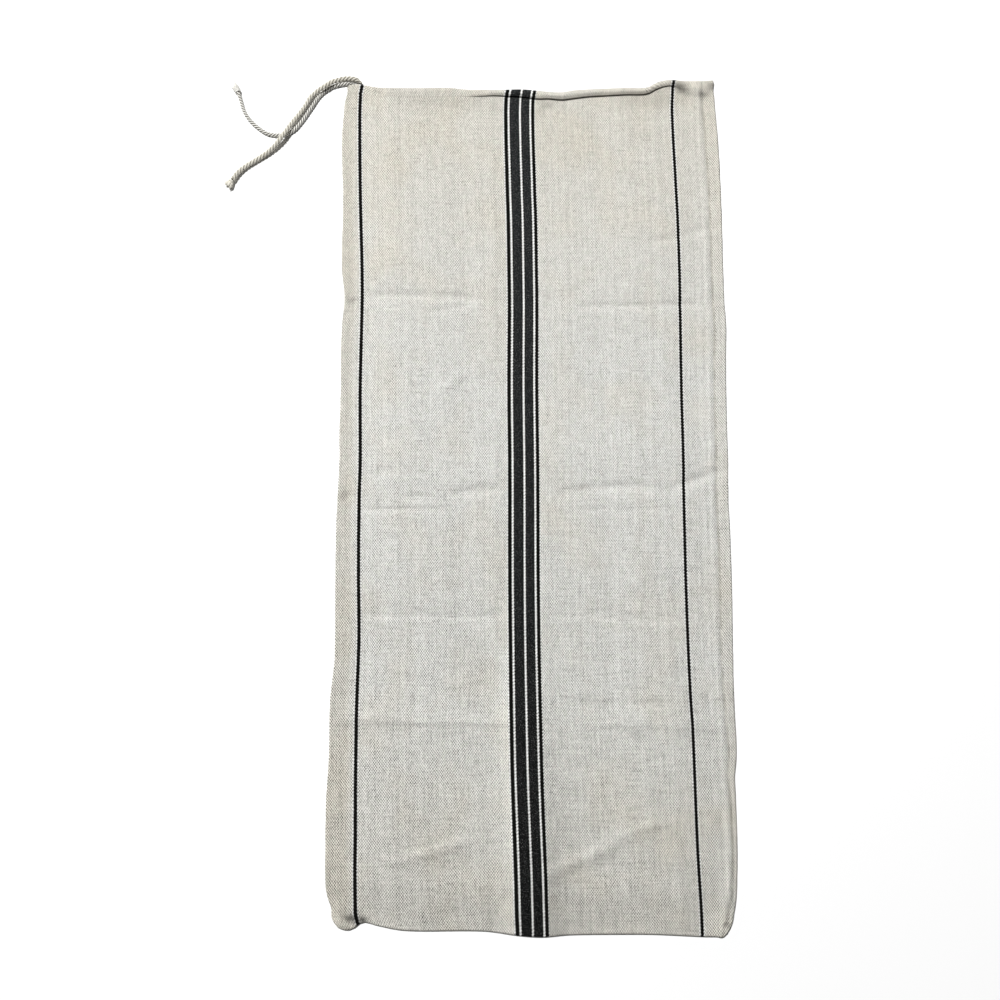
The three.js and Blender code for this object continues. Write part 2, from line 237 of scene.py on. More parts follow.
SWELLS = table(
    Swell,
    (-0.006, -0.290, 0.046, 0.220, 0.0020), (-0.010, -0.400, 0.022, 0.170, 0.0018),
    (-0.234, -0.556, 0.010, 0.006, 0.0018), (-0.192, -0.299, 0.014, 0.006, 0.0008),
    (-0.132, 0.546, 0.080, 0.016, 0.0026), (0.020, 0.536, 0.022, 0.012, 0.0018),
    (0.060, 0.520, 0.060, 0.026, 0.0012), (0.165, 0.546, 0.050, 0.014, 0.0026),
    (0.222, 0.550, 0.020, 0.012, 0.0014),
)
CREASES = table(
    Crease,
    (((-0.222, -0.0325), (-0.106, -0.0325)), -0.0020, 0.0024, 0.0030),
    (((-0.172, -0.016), (-0.123, -0.016)), -0.0020, 0.0034, 0.0040),
    (((-0.118, -0.016), (-0.088, -0.010), (-0.066, -0.005), (-0.031, -0.008)), -0.0024, 0.0055, 0.0070),
    (((-0.212, 0.013), (-0.172, 0.025)), -0.0018, 0.0040, 0.0080),
    (((-0.252, -0.016), (-0.230, -0.012)), -0.0024, 0.0040, 0.0050),
    (((0.008, 0.000), (0.028, -0.002)), -0.0012, 0.0040, 0.0040),
    (
        (
            (0.030, -0.009), (0.057, -0.0075), (0.100, -0.004), (0.141, -0.001),
            (0.173, -0.009), (0.197, 0.001), (0.234, 0.0135), (0.246, 0.030),
        ),
        -0.0020, 0.0052, 0.0066,
    ),
    (((0.040, -0.033), (0.195, -0.034)), -0.0011, 0.0030, 0.0030),
    (((-0.222, 0.259), (-0.116, 0.257), (-0.080, 0.254), (-0.046, 0.248)), -0.0018, 0.0045, 0.0070),
    (((-0.142, 0.232), (-0.076, 0.246)), -0.0017, 0.0040, 0.0045),
    (((-0.246, 0.249), (-0.226, 0.253)), -0.0026, 0.0030, 0.0045),
    (((0.055, 0.242), (0.159, 0.243), (0.232, 0.246)), -0.0018, 0.0042, 0.0060),
    (((0.150, 0.328), (0.204, 0.342), (0.258, 0.360)), -0.0018, 0.0040, 0.0055),
    (((-0.124, 0.116), (-0.077, 0.160)), 0.0018, 0.0050, 0.0065),
    (((-0.225, -0.173), (-0.120, -0.174), (-0.028, -0.173)), -0.0021, 0.0110, 0.0032),
    (((0.015, -0.172), (0.100, -0.175), (0.198, -0.180)), -0.0018, 0.0110, 0.0034),
    (((-0.255, -0.305), (-0.120, -0.3065), (-0.015, -0.3085)), 0.0016, 0.0090, 0.0044),
    (((0.045, -0.281), (0.190, -0.283)), -0.0014, 0.0034, 0.0090),
    (((0.075, -0.309), (0.200, -0.313), (0.252, -0.313)), 0.0012, 0.0080, 0.0046),
    (
        ((0.000, -0.499), (0.025, -0.489), (0.078, -0.467), (0.127, -0.440), (0.165, -0.426)),
        0.0036, 0.0052, 0.0095,
    ),
    (((-0.190, -0.482), (-0.152, -0.472), (-0.110, -0.461), (-0.070, -0.450)), 0.0030, 0.0050, 0.0090),
    (
        ((-0.2440, -0.5370), (-0.2320, -0.5465), (-0.2220, -0.5460), (-0.2165, -0.5475), (-0.2040, -0.5550)),
        -0.0042, 0.0022, 0.0044,
    ),
    (
        (
            (0.2225, -0.5600), (0.2258, -0.5510), (0.2347, -0.5425),
            (0.2384, -0.5250), (0.2440, -0.4990), (0.2450, -0.4700),
        ),
        0.0013, 0.0036, 0.0036,
    ),
    (((0.2330, -0.5575), (0.2450, -0.5530)), -0.0026, 0.0022, 0.0030),
    (((0.0080, 0.5150), (0.0270, 0.5270), (0.0420, 0.5330)), -0.0022, 0.0040, 0.0050),
    (((0.2000, 0.5620), (0.2080, 0.5540), (0.2140, 0.5450)), -0.0030, 0.0060, 0.0070),
    (((0.2330, 0.5440), (0.2400, 0.5480), (0.2480, 0.5580)), -0.0028, 0.0050, 0.0060),
)
# Painted shade in hollows, creases, corner folds and under the hem, and painted light on bulges and ridges
# where the strength is below zero.
PAINTED_SHADES = table(
    PaintedShade,
    (-0.2245, -0.5472, 0.0075, 0.0046, 0.85), (-0.2115, -0.5487, 0.0075, 0.0050, 0.85),
    (-0.2450, -0.5400, 0.0060, 0.0200, -0.14), (0.2400, -0.5550, 0.0050, 0.0028, 0.60),
    (0.2290, -0.5480, 0.0060, 0.0090, -0.10), (0.0390, -0.5410, 0.0090, 0.0120, -0.10),
    (-0.1250, 0.5330, 0.0700, 0.0090, 0.07), (-0.0750, 0.5270, 0.0300, 0.0090, 0.06),
    (0.0270, 0.5265, 0.0090, 0.0055, 0.20), (0.0150, 0.5180, 0.0090, 0.0060, 0.12),
    (0.1600, 0.5340, 0.0400, 0.0090, 0.11), (0.1800, 0.5460, 0.0090, 0.0070, 0.15),
    (0.2060, 0.5560, 0.0095, 0.0065, 0.58), (0.2125, 0.5490, 0.0100, 0.0060, 0.50),
    (0.2370, 0.5460, 0.0080, 0.0055, 0.55), (0.2500, 0.5580, 0.0040, 0.0060, 0.40),
    (0.2270, 0.5590, 0.0100, 0.0060, -0.10), (-0.2430, -0.0150, 0.0100, 0.0060, 0.16),
    (-0.2370, 0.2500, 0.0080, 0.0050, 0.18),
)
STRIPES = table(
    StripeRow,
    (-0.562, -0.2140, -0.0009, 0.2092), (-0.556, -0.2153, -0.0011, 0.2090),
    (-0.543, -0.2193, -0.0014, 0.2086), (-0.535, -0.2196, -0.0016, 0.2083),
    (-0.490, -0.2206, -0.0027, 0.2062), (-0.447, -0.2209, -0.0043, 0.2049),
    (-0.374, -0.2219, -0.0068, 0.2038), (-0.318, -0.2221, -0.0079, 0.2027),
    (-0.268, -0.2218, -0.0087, 0.2006), (-0.200, -0.2207, -0.0095, 0.1991),
    (-0.120, -0.2227, -0.0099, 0.1982), (-0.019, -0.2237, -0.0098, 0.1982),
    (0.032, -0.2232, -0.0099, 0.1987), (0.130, -0.2249, -0.0106, 0.1983), (0.243, -0.2244, -0.0100, 0.1991),
    (0.290, -0.2251, -0.0104, 0.1994), (0.365, -0.2281, -0.0112, 0.1986), (0.408, -0.2297, -0.0124, 0.1973),
    (0.517, -0.2322, -0.0144, 0.1943), (0.560, -0.2313, -0.0126, 0.1960),
)


def smooth(value: float) -> float:
    """Eases a value from 0 to 1."""
    t = min(max(value, 0.0), 1.0)
    return t * t * (3 - 2 * t)


def bell(distance: float, half: float) -> float:
    """Height of a soft bump of height 1 at a distance from its middle."""
    return math.exp(-((distance / half) ** 2))


def ripple(x: float, y: float, z: float) -> float:
    """Reads a smooth random wave, from -1 to 1, at a place."""
    return noise.noise(Vector((x, y, z)))


@dataclass(frozen=True)
class SmoothCurve:
    """A smooth curve through one column of a short table."""

    places: tuple[float, ...]
    values: tuple[float, ...]

    def at(self, place: float) -> float:
        """Reads the curve.

        Args:
            place: Where to read it; past the table's ends the end values hold.

        Returns:
            The value there.
        """
        x, y = self.places, self.values
        last = len(x) - 1
        at = min(max(place, x[0]), x[last])
        i = min(max(bisect_right(x, at) - 1, 0), last - 1)
        before, after = max(i - 1, 0), min(i + 2, last)
        span = x[i + 1] - x[i]
        start = (y[i + 1] - y[before]) / (x[i + 1] - x[before]) * span
        end = (y[after] - y[i]) / (x[after] - x[i]) * span
        t = (at - x[i]) / span
        rise = y[i + 1] - y[i]
        return y[i] + t * (start + t * (3 * rise - 2 * start - end + t * (start + end - 2 * rise)))


def column(rows: Sequence[NamedTuple], key: str, name: str) -> SmoothCurve:
    """Draws a curve through one column of a table.

    Args:
        rows: The table.
        key: The column that gives the places.
        name: The column that gives the values.

    Returns:
        The curve.
    """
    return SmoothCurve(tuple(getattr(row, key) for row in rows), tuple(getattr(row, name) for row in rows))


def line_distance(crease: Crease, x: float, y: float) -> tuple[float, float, float]:
    """Measures how a place lies to a crease.

    Args:
        crease: The crease, whose points run from left to right.
        x: Place across the sack.
        y: Place along the sack.

    Returns:
        The distance from the crease's line, below zero on the bottom's side, the distance to the nearer
        end along that line, and the line's length.
    """
    best, side, along, passed = math.inf, 1.0, 0.0, 0.0
    for (ax, ay), (bx, by) in zip(crease.points, crease.points[1:]):
        dx, dy = bx - ax, by - ay
        length = math.hypot(dx, dy)
        t = min(max(((x - ax) * dx + (y - ay) * dy) / length**2, 0.0), 1.0)
        distance = math.hypot(x - ax - t * dx, y - ay - t * dy)
        if distance < best:
            best, along = distance, passed + t * length
            side = dx * (y - ay) - dy * (x - ax)
        passed += length
    return math.copysign(best, side), min(along, passed - along), passed


@dataclass(frozen=True)
class SackForm:
    """The shape in which the sack lies: its outline, the room between its layers, its folds and creases."""

    layer: float = 1.6 * MM
    edge_gap: float = 0.9 * MM
    middle_gap: float = 7.2 * MM
    side_rise: float = 75 * MM
    bottom_rise: float = 60 * MM
    fold_reach: float = 0.255
    seam_ridge: Point = (-5 * MM, 0.8 * MM, 3.4 * MM)
    seam_groove: Point = (0.6 * MM, -0.5 * MM, 1.6 * MM)
    crease_fade: float = 22 * MM
    crease_uneven: float = 0.5
    crease_waves: float = 60
    least_front: float = 2.4 * MM
    edge_wander: float = 0.35 * MM
    edge_ragged: float = 0.25 * MM
    edge_waves: Pair = (55, 230)
    edge_seeds: Pair = (1.0, 9.0)
    waves: tuple[tuple[Point, float], ...] = (((11, 9, 3.1), 0.6 * MM), ((34, 26, 7.7), 0.25 * MM))
    # Painted shade along the seam's groove and painted light on the ridge beside it, low on the sack.
    seam_shade: float = 0.28
    seam_shade_half: float = 1.8 * MM
    seam_shade_waves: Point = (20, 95, 2.3)
    seam_shade_low: Pair = (-0.36, 0.08)
    seam_shade_turn: Pair = (-0.552, 0.026)
    seam_shade_fine: Pair = (0.30, 0.15)
    ridge_light: Pair = (0.18, 3.5 * MM)
    left: SmoothCurve = column(SIDES, "y", "left")
    right: SmoothCurve = column(SIDES, "y", "right")
    seam: SmoothCurve = column(SIDES, "y", "seam")
    bottom: SmoothCurve = column(BOTTOM_FOLD, "x", "y")
    mouth: SmoothCurve = column(MOUTH, "x", "y")
    roll: SmoothCurve = column(MOUTH, "x", "roll")
    lift: SmoothCurve = column(MOUTH, "x", "lift")

    @property
    def edge_radius(self) -> float:
        """Half the height of a folded edge."""
        return self.layer + self.edge_gap / 2

    def edges(self, y_left: float, y_right: float) -> Edges:
        """Finds the ends of a row across the sack.

        Args:
            y_left: Where the row meets the left edge.
            y_right: Where it meets the right edge.

        Returns:
            The row's edges and seam.
        """
        right = self.right.at(y_right)
        left = self.left.at(y_left) + self.wander(self.edge_seeds[0], y_left)
        ragged = right + self.wander(self.edge_seeds[1], y_right)
        return Edges(left, ragged, right - self.seam.at(y_right))

    def wander(self, seed: float, y: float) -> float:
        """Gives how far a side edge strays from its smooth line."""
        slow, quick = self.edge_waves
        return self.edge_wander * ripple(seed, y * slow, 0) + self.edge_ragged * ripple(seed, y * quick, 5)

    def fold_line(self, fold: FoldRow, x: float) -> float:
        """Gives the y of a storage fold at an x."""
        return self.through(fold.left, fold.middle, fold.right, x)

    def through(self, left: float, middle: float, right: float, x: float) -> float:
        """Reads a curve through three values at the left edge, the middle and the right edge."""
        u = x / self.fold_reach
        return middle + (right - left) / 2 * u + ((right + left) / 2 - middle) * u * u

    def relief(self, x: float, y: float, seam: float) -> float:
        """Adds up the folds, swellings, creases and the seam.

        Args:
            x: Place across the sack.
            y: Place along the sack.
            seam: The seam's x.

        Returns:
            The height above the plain front.
        """
        height = 0.0
        for shift, rise, half in (self.seam_ridge, self.seam_groove):
            height += rise * bell(x - seam - shift, half)
        for fold in FOLDS:
            rise = self.through(fold.left_height, fold.middle_height, fold.right_height, x)
            height += rise * bell(y - self.fold_line(fold, x), fold.half)
        for swell in SWELLS:
            height += swell.height * bell(x - swell.x, swell.across) * bell(y - swell.y, swell.along)
        for crease in CREASES:
            if crease.near(y):
                away, to_end, length = line_distance(crease, x, y)
                fade = min(self.crease_fade, length / 2)
                waves = self.crease_waves
                uneven = 1 + self.crease_uneven * ripple(x * waves, y * waves, crease.above * 1000)
                shape = bell(away, crease.above if away > 0 else crease.below)
                height += crease.height * uneven * shape * smooth(to_end / fade)
        return height + self.unevenness(x, y)

    def painted_shading(self, x: float, y: float, seam: float) -> float:
        """Gives the painted shade on the front: along the seam's groove and at listed patches, with painted
        light where it is below zero.

        Args:
            x: Place across the sack.
            y: Place along the sack.
            seam: The seam's x.

        Returns:
            The part of the light that the painted shade takes, below zero where light is painted on.
        """
        # Painted shade along the seam's groove, uneven and stronger low on the sack; painted light on the
        # ridge beside it.
        across, along, seed = self.seam_shade_waves
        uneven = 0.6 + 0.9 * ripple(x * across, y * along, seed)
        low = smooth((self.seam_shade_low[0] - y) / self.seam_shade_low[1])
        turned = smooth((y - self.seam_shade_turn[0]) / self.seam_shade_turn[1])
        groove = bell(x - seam - self.seam_groove[0], self.seam_shade_half)
        fine = 1 - 0.4 * smooth((y - self.seam_shade_fine[0]) / self.seam_shade_fine[1])
        painted_shading = self.seam_shade * fine * (max(uneven, 0.0) + 1.2 * low * turned) * groove
        highlight, half = self.ridge_light
        painted_shading -= highlight * low * bell(x - seam - self.seam_ridge[0], half)
        # Listed patches of painted shade, or of painted light below zero.
        for shade in PAINTED_SHADES:
            painted_shading += shade.strength * bell(x - shade.x, shade.across) * bell(y - shade.y, shade.along)
        return painted_shading

    def unevenness(self, x: float, y: float) -> float:
        """Gives the small waves of cloth that has been folded and used."""
        return sum(height * ripple(x * a, y * b, seed) for (a, b, seed), height in self.waves)

    def front(self, x: float, y: float, edges: Edges) -> float:
        """Gives the height of the front's outer face, before it rounds off into its edges.

        Args:
            x: Place across the sack.
            y: Place along the sack.
            edges: The edges of the row through that place.

        Returns:
            The height above the floor.
        """
        to_side = min(x - edges.left, edges.right - x)
        to_bottom = y - self.bottom.at(x)
        fade = 4 * self.edge_radius
        opened = smooth(to_side / self.side_rise) * smooth(to_bottom / self.bottom_rise)
        free = smooth(to_side / fade) * smooth(to_bottom / fade)
        gap = self.edge_gap + opened * (self.middle_gap - self.edge_gap)
        return max(2 * self.layer + gap + free * self.relief(x, y, edges.seam), self.least_front)


Operand = Union["Value", float, int]


def joining(operation: str, number_first: bool = False) -> Callable[["Value", Operand], "Value"]:
    """Makes an operator of two numbers on a shader's wires.

    Args:
        operation: The Math node's operation.
        number_first: Whether the other number comes before the wrapped one.

    Returns:
        The operator, as a method of a wrapped number.
    """

    def method(value: "Value", other: Operand) -> "Value":
        """Adds the Math node."""
        return value.graph.math(operation, *((other, value) if number_first else (value, other)))

    return method


def changing(operation: str) -> Callable[["Value"], "Value"]:
    """Makes a method that changes one number on a shader's wire by a Math node."""
    return lambda value: value.graph.math(operation, value)


class Value:
    """A number on a shader's wire, used in Python expressions."""

    def __init__(self, graph: "ShaderGraph", socket: bpy.types.NodeSocket) -> None:
        """Wraps an output socket of a graph."""
        self.graph = graph
        self.socket = socket

    __add__ = joining("ADD")
    __radd__ = joining("ADD", number_first=True)
    __sub__ = joining("SUBTRACT")
    __rsub__ = joining("SUBTRACT", number_first=True)
    __mul__ = joining("MULTIPLY")
    __rmul__ = joining("MULTIPLY", number_first=True)
    __truediv__ = joining("DIVIDE")
    highest = joining("MAXIMUM")
    __abs__ = changing("ABSOLUTE")
    floor = changing("FLOOR")
    part = changing("FRACT")
    sine = changing("SINE")

    def clamp(self) -> "Value":
        """Keeps the value from 0 to 1."""
        return self.graph.math("ADD", self, 0.0, clamp=True)

    def above(self, low: float, high: float) -> "Value":
        """Rises from 0 at a low value to 1 at a high one."""
        return ((self - low) / (high - low)).clamp()

    def within(self, rise: Pair, fall: Pair) -> "Value":
        """Rises from 0 to 1 over one span and falls back to 0 over another."""
        return self.above(*rise) * self.above(*fall)


class ShaderGraph:
    """The node tree of one material."""

    def __init__(self, name: str) -> None:
        """Starts a material with an empty tree and its output."""
        self.material = bpy.data.materials.new(name)
        self.material.use_nodes = True
        self.tree = self.material.node_tree
        self.tree.nodes.clear()
        self.output = self.node("ShaderNodeOutputMaterial")

    def node(self, kind: str, settings: dict | None = None, inputs: dict | None = None) -> bpy.types.Node:
        """Adds a node.

        Args:
            kind: The node's type.
            settings: The node's own settings, set first.
            inputs: Values or links of its sockets, by name or number.

        Returns:
            The node.
        """
        made = self.tree.nodes.new(kind)
        for name, setting in (settings or {}).items():
            setattr(made, name, setting)
        for key, given in (inputs or {}).items():
            source = given.socket if isinstance(given, Value) else given
            if isinstance(source, bpy.types.NodeSocket):
                self.tree.links.new(source, made.inputs[key])
            else:
                made.inputs[key].default_value = source
        return made

    def math(self, operation: str, *operands: Operand, clamp: bool = False) -> Value:
        """Adds a Math node and wraps its result."""
        settings = {"operation": operation, "use_clamp": clamp}
        return Value(self, self.node("ShaderNodeMath", settings, dict(enumerate(operands))).outputs[0])

    def mix(self, factor: Operand, first: object, second: object, blend: str = "MIX") -> bpy.types.NodeSocket:
        """Mixes two colours.

        Args:
            factor: How much of the second there is.
            first: A colour or the socket of one.
            second: A colour, a value or the socket of a colour.
            blend: The way of mixing.

        Returns:
            The socket of the mixed colour.
        """
        settings = {"data_type": "RGBA", "blend_type": blend}
        return self.node("ShaderNodeMix", settings, {0: factor, 6: first, 7: second}).outputs[2]

    def places(self, uv_map: str) -> tuple[bpy.types.NodeSocket, Value, Value]:
        """Reads a UV map.

        Args:
            uv_map: The map's name.

        Returns:
            The map's vector, and its two numbers.
        """
        vector = self.node("ShaderNodeUVMap", {"uv_map": uv_map}).outputs[0]
        parts = self.node("ShaderNodeSeparateXYZ", None, {0: vector}).outputs
        return vector, Value(self, parts[0]), Value(self, parts[1])

    def noise(self, vector: bpy.types.NodeSocket, scale: Pair, detail: float = 2.0) -> Value:
        """Adds a noise texture.

        Args:
            vector: Where it is read.
            scale: Waves per unit along the two numbers of the vector.
            detail: How many finer waves it has.

        Returns:
            The noise, from 0 to 1 with its middle at 0.5.
        """
        factors = {0: vector, 1: (*scale, 1.0)}
        stretched = self.node("ShaderNodeVectorMath", {"operation": "MULTIPLY"}, factors)
        inputs = {"Vector": stretched.outputs[0], "Scale": 1.0, "Detail": detail}
        return Value(self, self.node("ShaderNodeTexNoise", {"noise_dimensions": "2D"}, inputs).outputs[0])

    def chance(self, number: Value) -> Value:
        """Gives each number a value of its own from 0 to 1."""
        made = self.node("ShaderNodeTexWhiteNoise", {"noise_dimensions": "1D"}, {"W": number})
        return Value(self, made.outputs["Value"])

    def surface(self, colour: object, height: Value, depth: float) -> bpy.types.Material:
        """Ends the graph in a matt surface.

        Args:
            colour: The base colour's socket.
            height: The height of the bumps, from 0 to 1.
            depth: How deep the bumps are in metres.

        Returns:
            The material.
        """
        bump = self.node("ShaderNodeBump", None, {"Strength": 1.0, "Distance": depth, "Height": height})
        inputs = {"Base Color": colour, "Normal": bump.outputs[0], **MATT}
        return self.end("ShaderNodeBsdfPrincipled", inputs)

    def end(self, kind: str, inputs: dict) -> bpy.types.Material:
        """Ends the graph in a shader of a kind and gives the material."""
        shader = self.node(kind, None, inputs)
        self.tree.links.new(shader.outputs[0], self.output.inputs[0])
        return self.material


def linear(red: float, green: float, blue: float) -> Colour:
    """Turns a colour as it is seen, from 0 to 255, into the linear one that shaders use."""
    parts = [part / 255 for part in (red, green, blue)]
    curved = [p / 12.92 if p <= 0.04045 else ((p + 0.055) / 1.055) ** 2.4 for p in parts]
    return (*curved, 1.0)


class Stripe(NamedTuple):
    """A black stripe of the cloth, by its middle and width in the cloth's own measure."""

    middle: float
    width: float


LEFT_LINE = -0.2147
RIGHT_LINE = 0.2097
BARS = (Stripe(-6.6 * MM, 13.0 * MM), Stripe(8.15 * MM, 11.7 * MM))
LINES = (
    Stripe(LEFT_LINE, 4.7 * MM),
    Stripe(-18.0 * MM, 5.0 * MM),
    Stripe(18.6 * MM, 4.6 * MM),
    Stripe(RIGHT_LINE, 4.1 * MM),
)
BLEACHED = (
    Stripe(LEFT_LINE, 6.6 * MM),
    Stripe(-0.1 * MM, 43.3 * MM),
    Stripe(RIGHT_LINE, 6.0 * MM),
)


@dataclass(frozen=True)
class TwillFinish:
    """Heavy off-white twill with black stripes.

    A pair of places, across the cloth or up from its bottom fold, says where a change starts and is complete.
    """

    name: str = "striped_twill"
    uv_map: str = "cloth"
    painted_shading_name: str = "painted_shading"
    end: float = 0.775 * MM
    pick: float = 1.025 * MM
    repeat: int = 4
    depth: float = 0.08 * MM
    light: Colour = linear(234, 234, 229)
    warm: Colour = linear(231, 226, 213)
    charcoal: Colour = linear(33, 35, 36)
    fresh: Colour = linear(13, 14, 14)
    ink: Colour = linear(12, 12, 9)
    bright: Colour = linear(246, 246, 243)
    rosy: Colour = linear(236, 227, 220)
    greenish: Colour = linear(227, 231, 216)
    tone: float = 0.694
    bleach: float = 0.15
    lint: float = 0.3
    slub: float = 0.15
    speck: float = 0.25
    bar_rim: float = 1.3 * MM
    black_soft: float = 0.35 * MM
    core_soft: float = 0.8 * MM
    bleached_soft: float = 0.5 * MM
    ragged_floats: float = 1.0 * MM
    ragged_fibres: float = 0.9 * MM
    stray: Pair = (1.6 * MM, 1.2 * MM)
    cell: Pair = (1.25 * MM, 1.3 * MM)
    left_margin: Pair = (-0.2180, -0.2280)
    left_line: Pair = (-0.2180, -0.2200)
    left_of_band: tuple[Pair, Pair] = ((-0.046, -0.030), (-0.019, -0.022))
    right_of_band: tuple[Pair, Pair] = ((0.019, 0.022), (0.064, 0.026))
    right_margin: Pair = (0.214, 0.222)
    right_edge: Pair = (0.214, 0.224)
    seam_strip: Pair = (0.2520, 0.2545)
    bottom: Pair = (0.30, 0.0)
    bottom_end: Pair = (0.20, 0.05)
    bottom_corner: Pair = (0.30, 0.20)
    band_foot: Pair = (0.40, 0.28)
    lower_part: Pair = (0.62, 0.42)
    upper_part: Pair = (0.72, 1.12)
    worn: Pair = (0.85, 0.25)
    fading: Pair = (0.05, 0.95)
    runs: tuple[tuple[Pair, float, float], ...] = (
        ((520, 26), 0.13, 0.15),
        ((26, 480), 0.12, 0.14),
        ((70, 5), 0.05, 0.04),
        ((8, 75), 0.02, 0.05),
        ((380, 300), 0.18, 0.06),
        ((110, 60), 0.07, 0.02),
    )

    def weave(self, s: Value, v: Value) -> tuple[Value, Value, Value, Value]:
        """Makes the threads of a broken twill.

        Args:
            s: Place across the cloth.
            v: Place along the cloth.

        Returns:
            Where the lengthwise threads float on top in the rising and in the falling twill, the height of
            the threads, and a chance for each float, all from 0 to 1.
        """
        a, b = s / self.end, v / self.pick
        turn = 2 * math.pi / self.repeat
        float_place = (b + a.floor()) / self.repeat
        over = 0.5 + 0.5 * (turn * (b + a)).sine()
        broken = 0.5 + 0.5 * (turn * (b - a)).sine()
        under = 0.5 - 0.5 * (turn * (a + b.floor())).sine()
        ends = (math.pi * a.part()).sine() * over
        picks = (math.pi * b.part()).sine() * under
        own = s.graph.chance(7.31 * a.floor() + 0.377 * float_place.floor())
        return over, broken, 0.55 * over + 0.45 * ends.highest(picks), own

    def stripes(self, s: Value, ragged: Value) -> tuple[Value, Value, Value]:
        """Makes the masks of the stripes.

        Args:
            s: Place across the cloth.
            ragged: How the weave shifts the stripes' edges.

        Returns:
            All black threads, the greyer ones in the middle of the bars, and the bleached ones beside them.
        """
        black = self.mask(s, ragged, (*BARS, *LINES), self.black_soft)
        cores = [Stripe(bar.middle, bar.width - 2 * self.bar_rim) for bar in BARS]
        core = self.mask(s, ragged, cores, self.core_soft)
        return black, core, self.mask(s, ragged, BLEACHED, self.bleached_soft)

    def mask(self, s: Value, ragged: Value, stripes: Sequence[Stripe], soft: float) -> Value:
        """Makes one mask of several stripes.

        Args:
            s: Place across the cloth.
            ragged: How the weave shifts the stripes' edges.
            stripes: The stripes.
            soft: Width of their soft edges.

        Returns:
            1 on the stripes and 0 off them.
        """
        whole = None
        for middle, width in stripes:
            one = ((width / 2 + ragged - abs(s - middle)) / soft + 0.5).clamp()
            whole = whole.highest(one) if whole else one
        return whole

    def ground(
        self, graph: ShaderGraph, place: bpy.types.NodeSocket, s: Value, up: Value
    ) -> bpy.types.NodeSocket:
        """Makes the colour of the undyed cloth.

        Args:
            graph: The material's nodes.
            place: Place on the cloth.
            s: Place across it.
            up: Distance from the bottom fold.

        Returns:
            The colour.
        """
        patch = graph.noise(place, (14, 11), 4.0).above(0.45, 0.75)
        margin = (0.5 * s.above(*self.seam_strip)).highest(s.above(*self.left_margin))
        ends = 0.75 * up.above(*self.upper_part) + 0.5 * up.above(*self.bottom)
        cloth = graph.mix((0.5 * patch + ends + 0.6 * margin).clamp(), self.light, self.warm)
        tint = graph.noise(place, (130, 100), 2.0)
        cloth = graph.mix(0.22 * tint.above(0.54, 0.68), cloth, self.rosy)
        return graph.mix(0.3 * tint.above(0.46, 0.32), cloth, self.greenish)

    def shade(self, s: Value, up: Value) -> Value:
        """Makes the broad changes of tone: darker towards the bottom and at the left margin, with painted
        light left of the band and painted shade right of it, as on a ridge along the band.

        Args:
            s: Place across the cloth.
            up: Distance from the bottom fold.

        Returns:
            The part of the light that the cloth gives back.
        """
        low = up.above(*self.band_foot)
        # Painted light on the left slope of the ridge along the band, and painted shade on its right slope,
        # low on the sack.
        lit = 0.22 * s.within(*self.left_of_band) * low
        shaded = (0.06 + 0.14 * up.above(*self.bottom_end)) * s.within(*self.right_of_band) * low
        tone = 1 - 0.06 * up.above(*self.lower_part) - 0.11 * up.above(*self.bottom)
        tone -= 0.06 * s.above(*self.left_margin)
        return tone * (1 + 0.035 * s.above(*self.right_margin) + lit - shaded)

    def threads(
        self, graph: ShaderGraph, place: bpy.types.NodeSocket, bent: tuple[Value, Value], up: Value,
        floats: tuple[Value, Value, Value],
    ) -> Value:
        """Makes the lighter and darker threads of the cloth.

        Args:
            graph: The material's nodes.
            place: Place on the cloth.
            bent: Places across and along the cloth on its uneven threads.
            up: Distance from the bottom fold.
            floats: The floats of the rising and of the falling twill, and their own chances.

        Returns:
            How much lighter or darker than the cloth a place is.
        """
        s, v = bent
        over, broken, own = floats
        low = up.above(*self.worn)
        fullness = 0.95 + 0.2 * s.above(0.05, -0.05)
        edge = up.above(*self.bottom_corner) * s.above(*self.right_edge)
        strip = s.above(*self.seam_strip).highest(edge).highest(0.6 * low * s.above(*self.left_line))
        clear = graph.noise(place, (48, 40), 2.0).above(0.40, 0.60)
        crossed = graph.noise(place, (40, 52), 2.0).above(0.60, 0.40)
        rising = 0.17 + 0.16 * low + 0.25 * strip + 0.22 * clear
        falling = 0.12 + 0.16 * low + 0.20 * edge + 0.24 * crossed
        cell = 3.17 * (s / self.cell[0]).floor() + 0.611 * (v / self.cell[1]).floor()
        twill = rising * (over - 0.5) + falling * (broken - 0.5) + 0.3 * over * (own - 0.5)
        twill += (0.10 + 0.08 * low) * (graph.chance(cell) - 0.5)
        runs = 0.08 * (graph.chance((s / self.end / 2).floor()) - 0.5)
        for scale, strength, more in self.runs:
            runs += (strength + more * low) * (graph.noise(place, scale, 1.0) - 0.5)
        slub = graph.noise(place, (48, 620), 1.0).above(0.69, 0.78)
        speck = graph.noise(place, (420, 380), 1.0).above(0.72, 0.80)
        return fullness * twill + runs - self.slub * slub - self.speck * speck

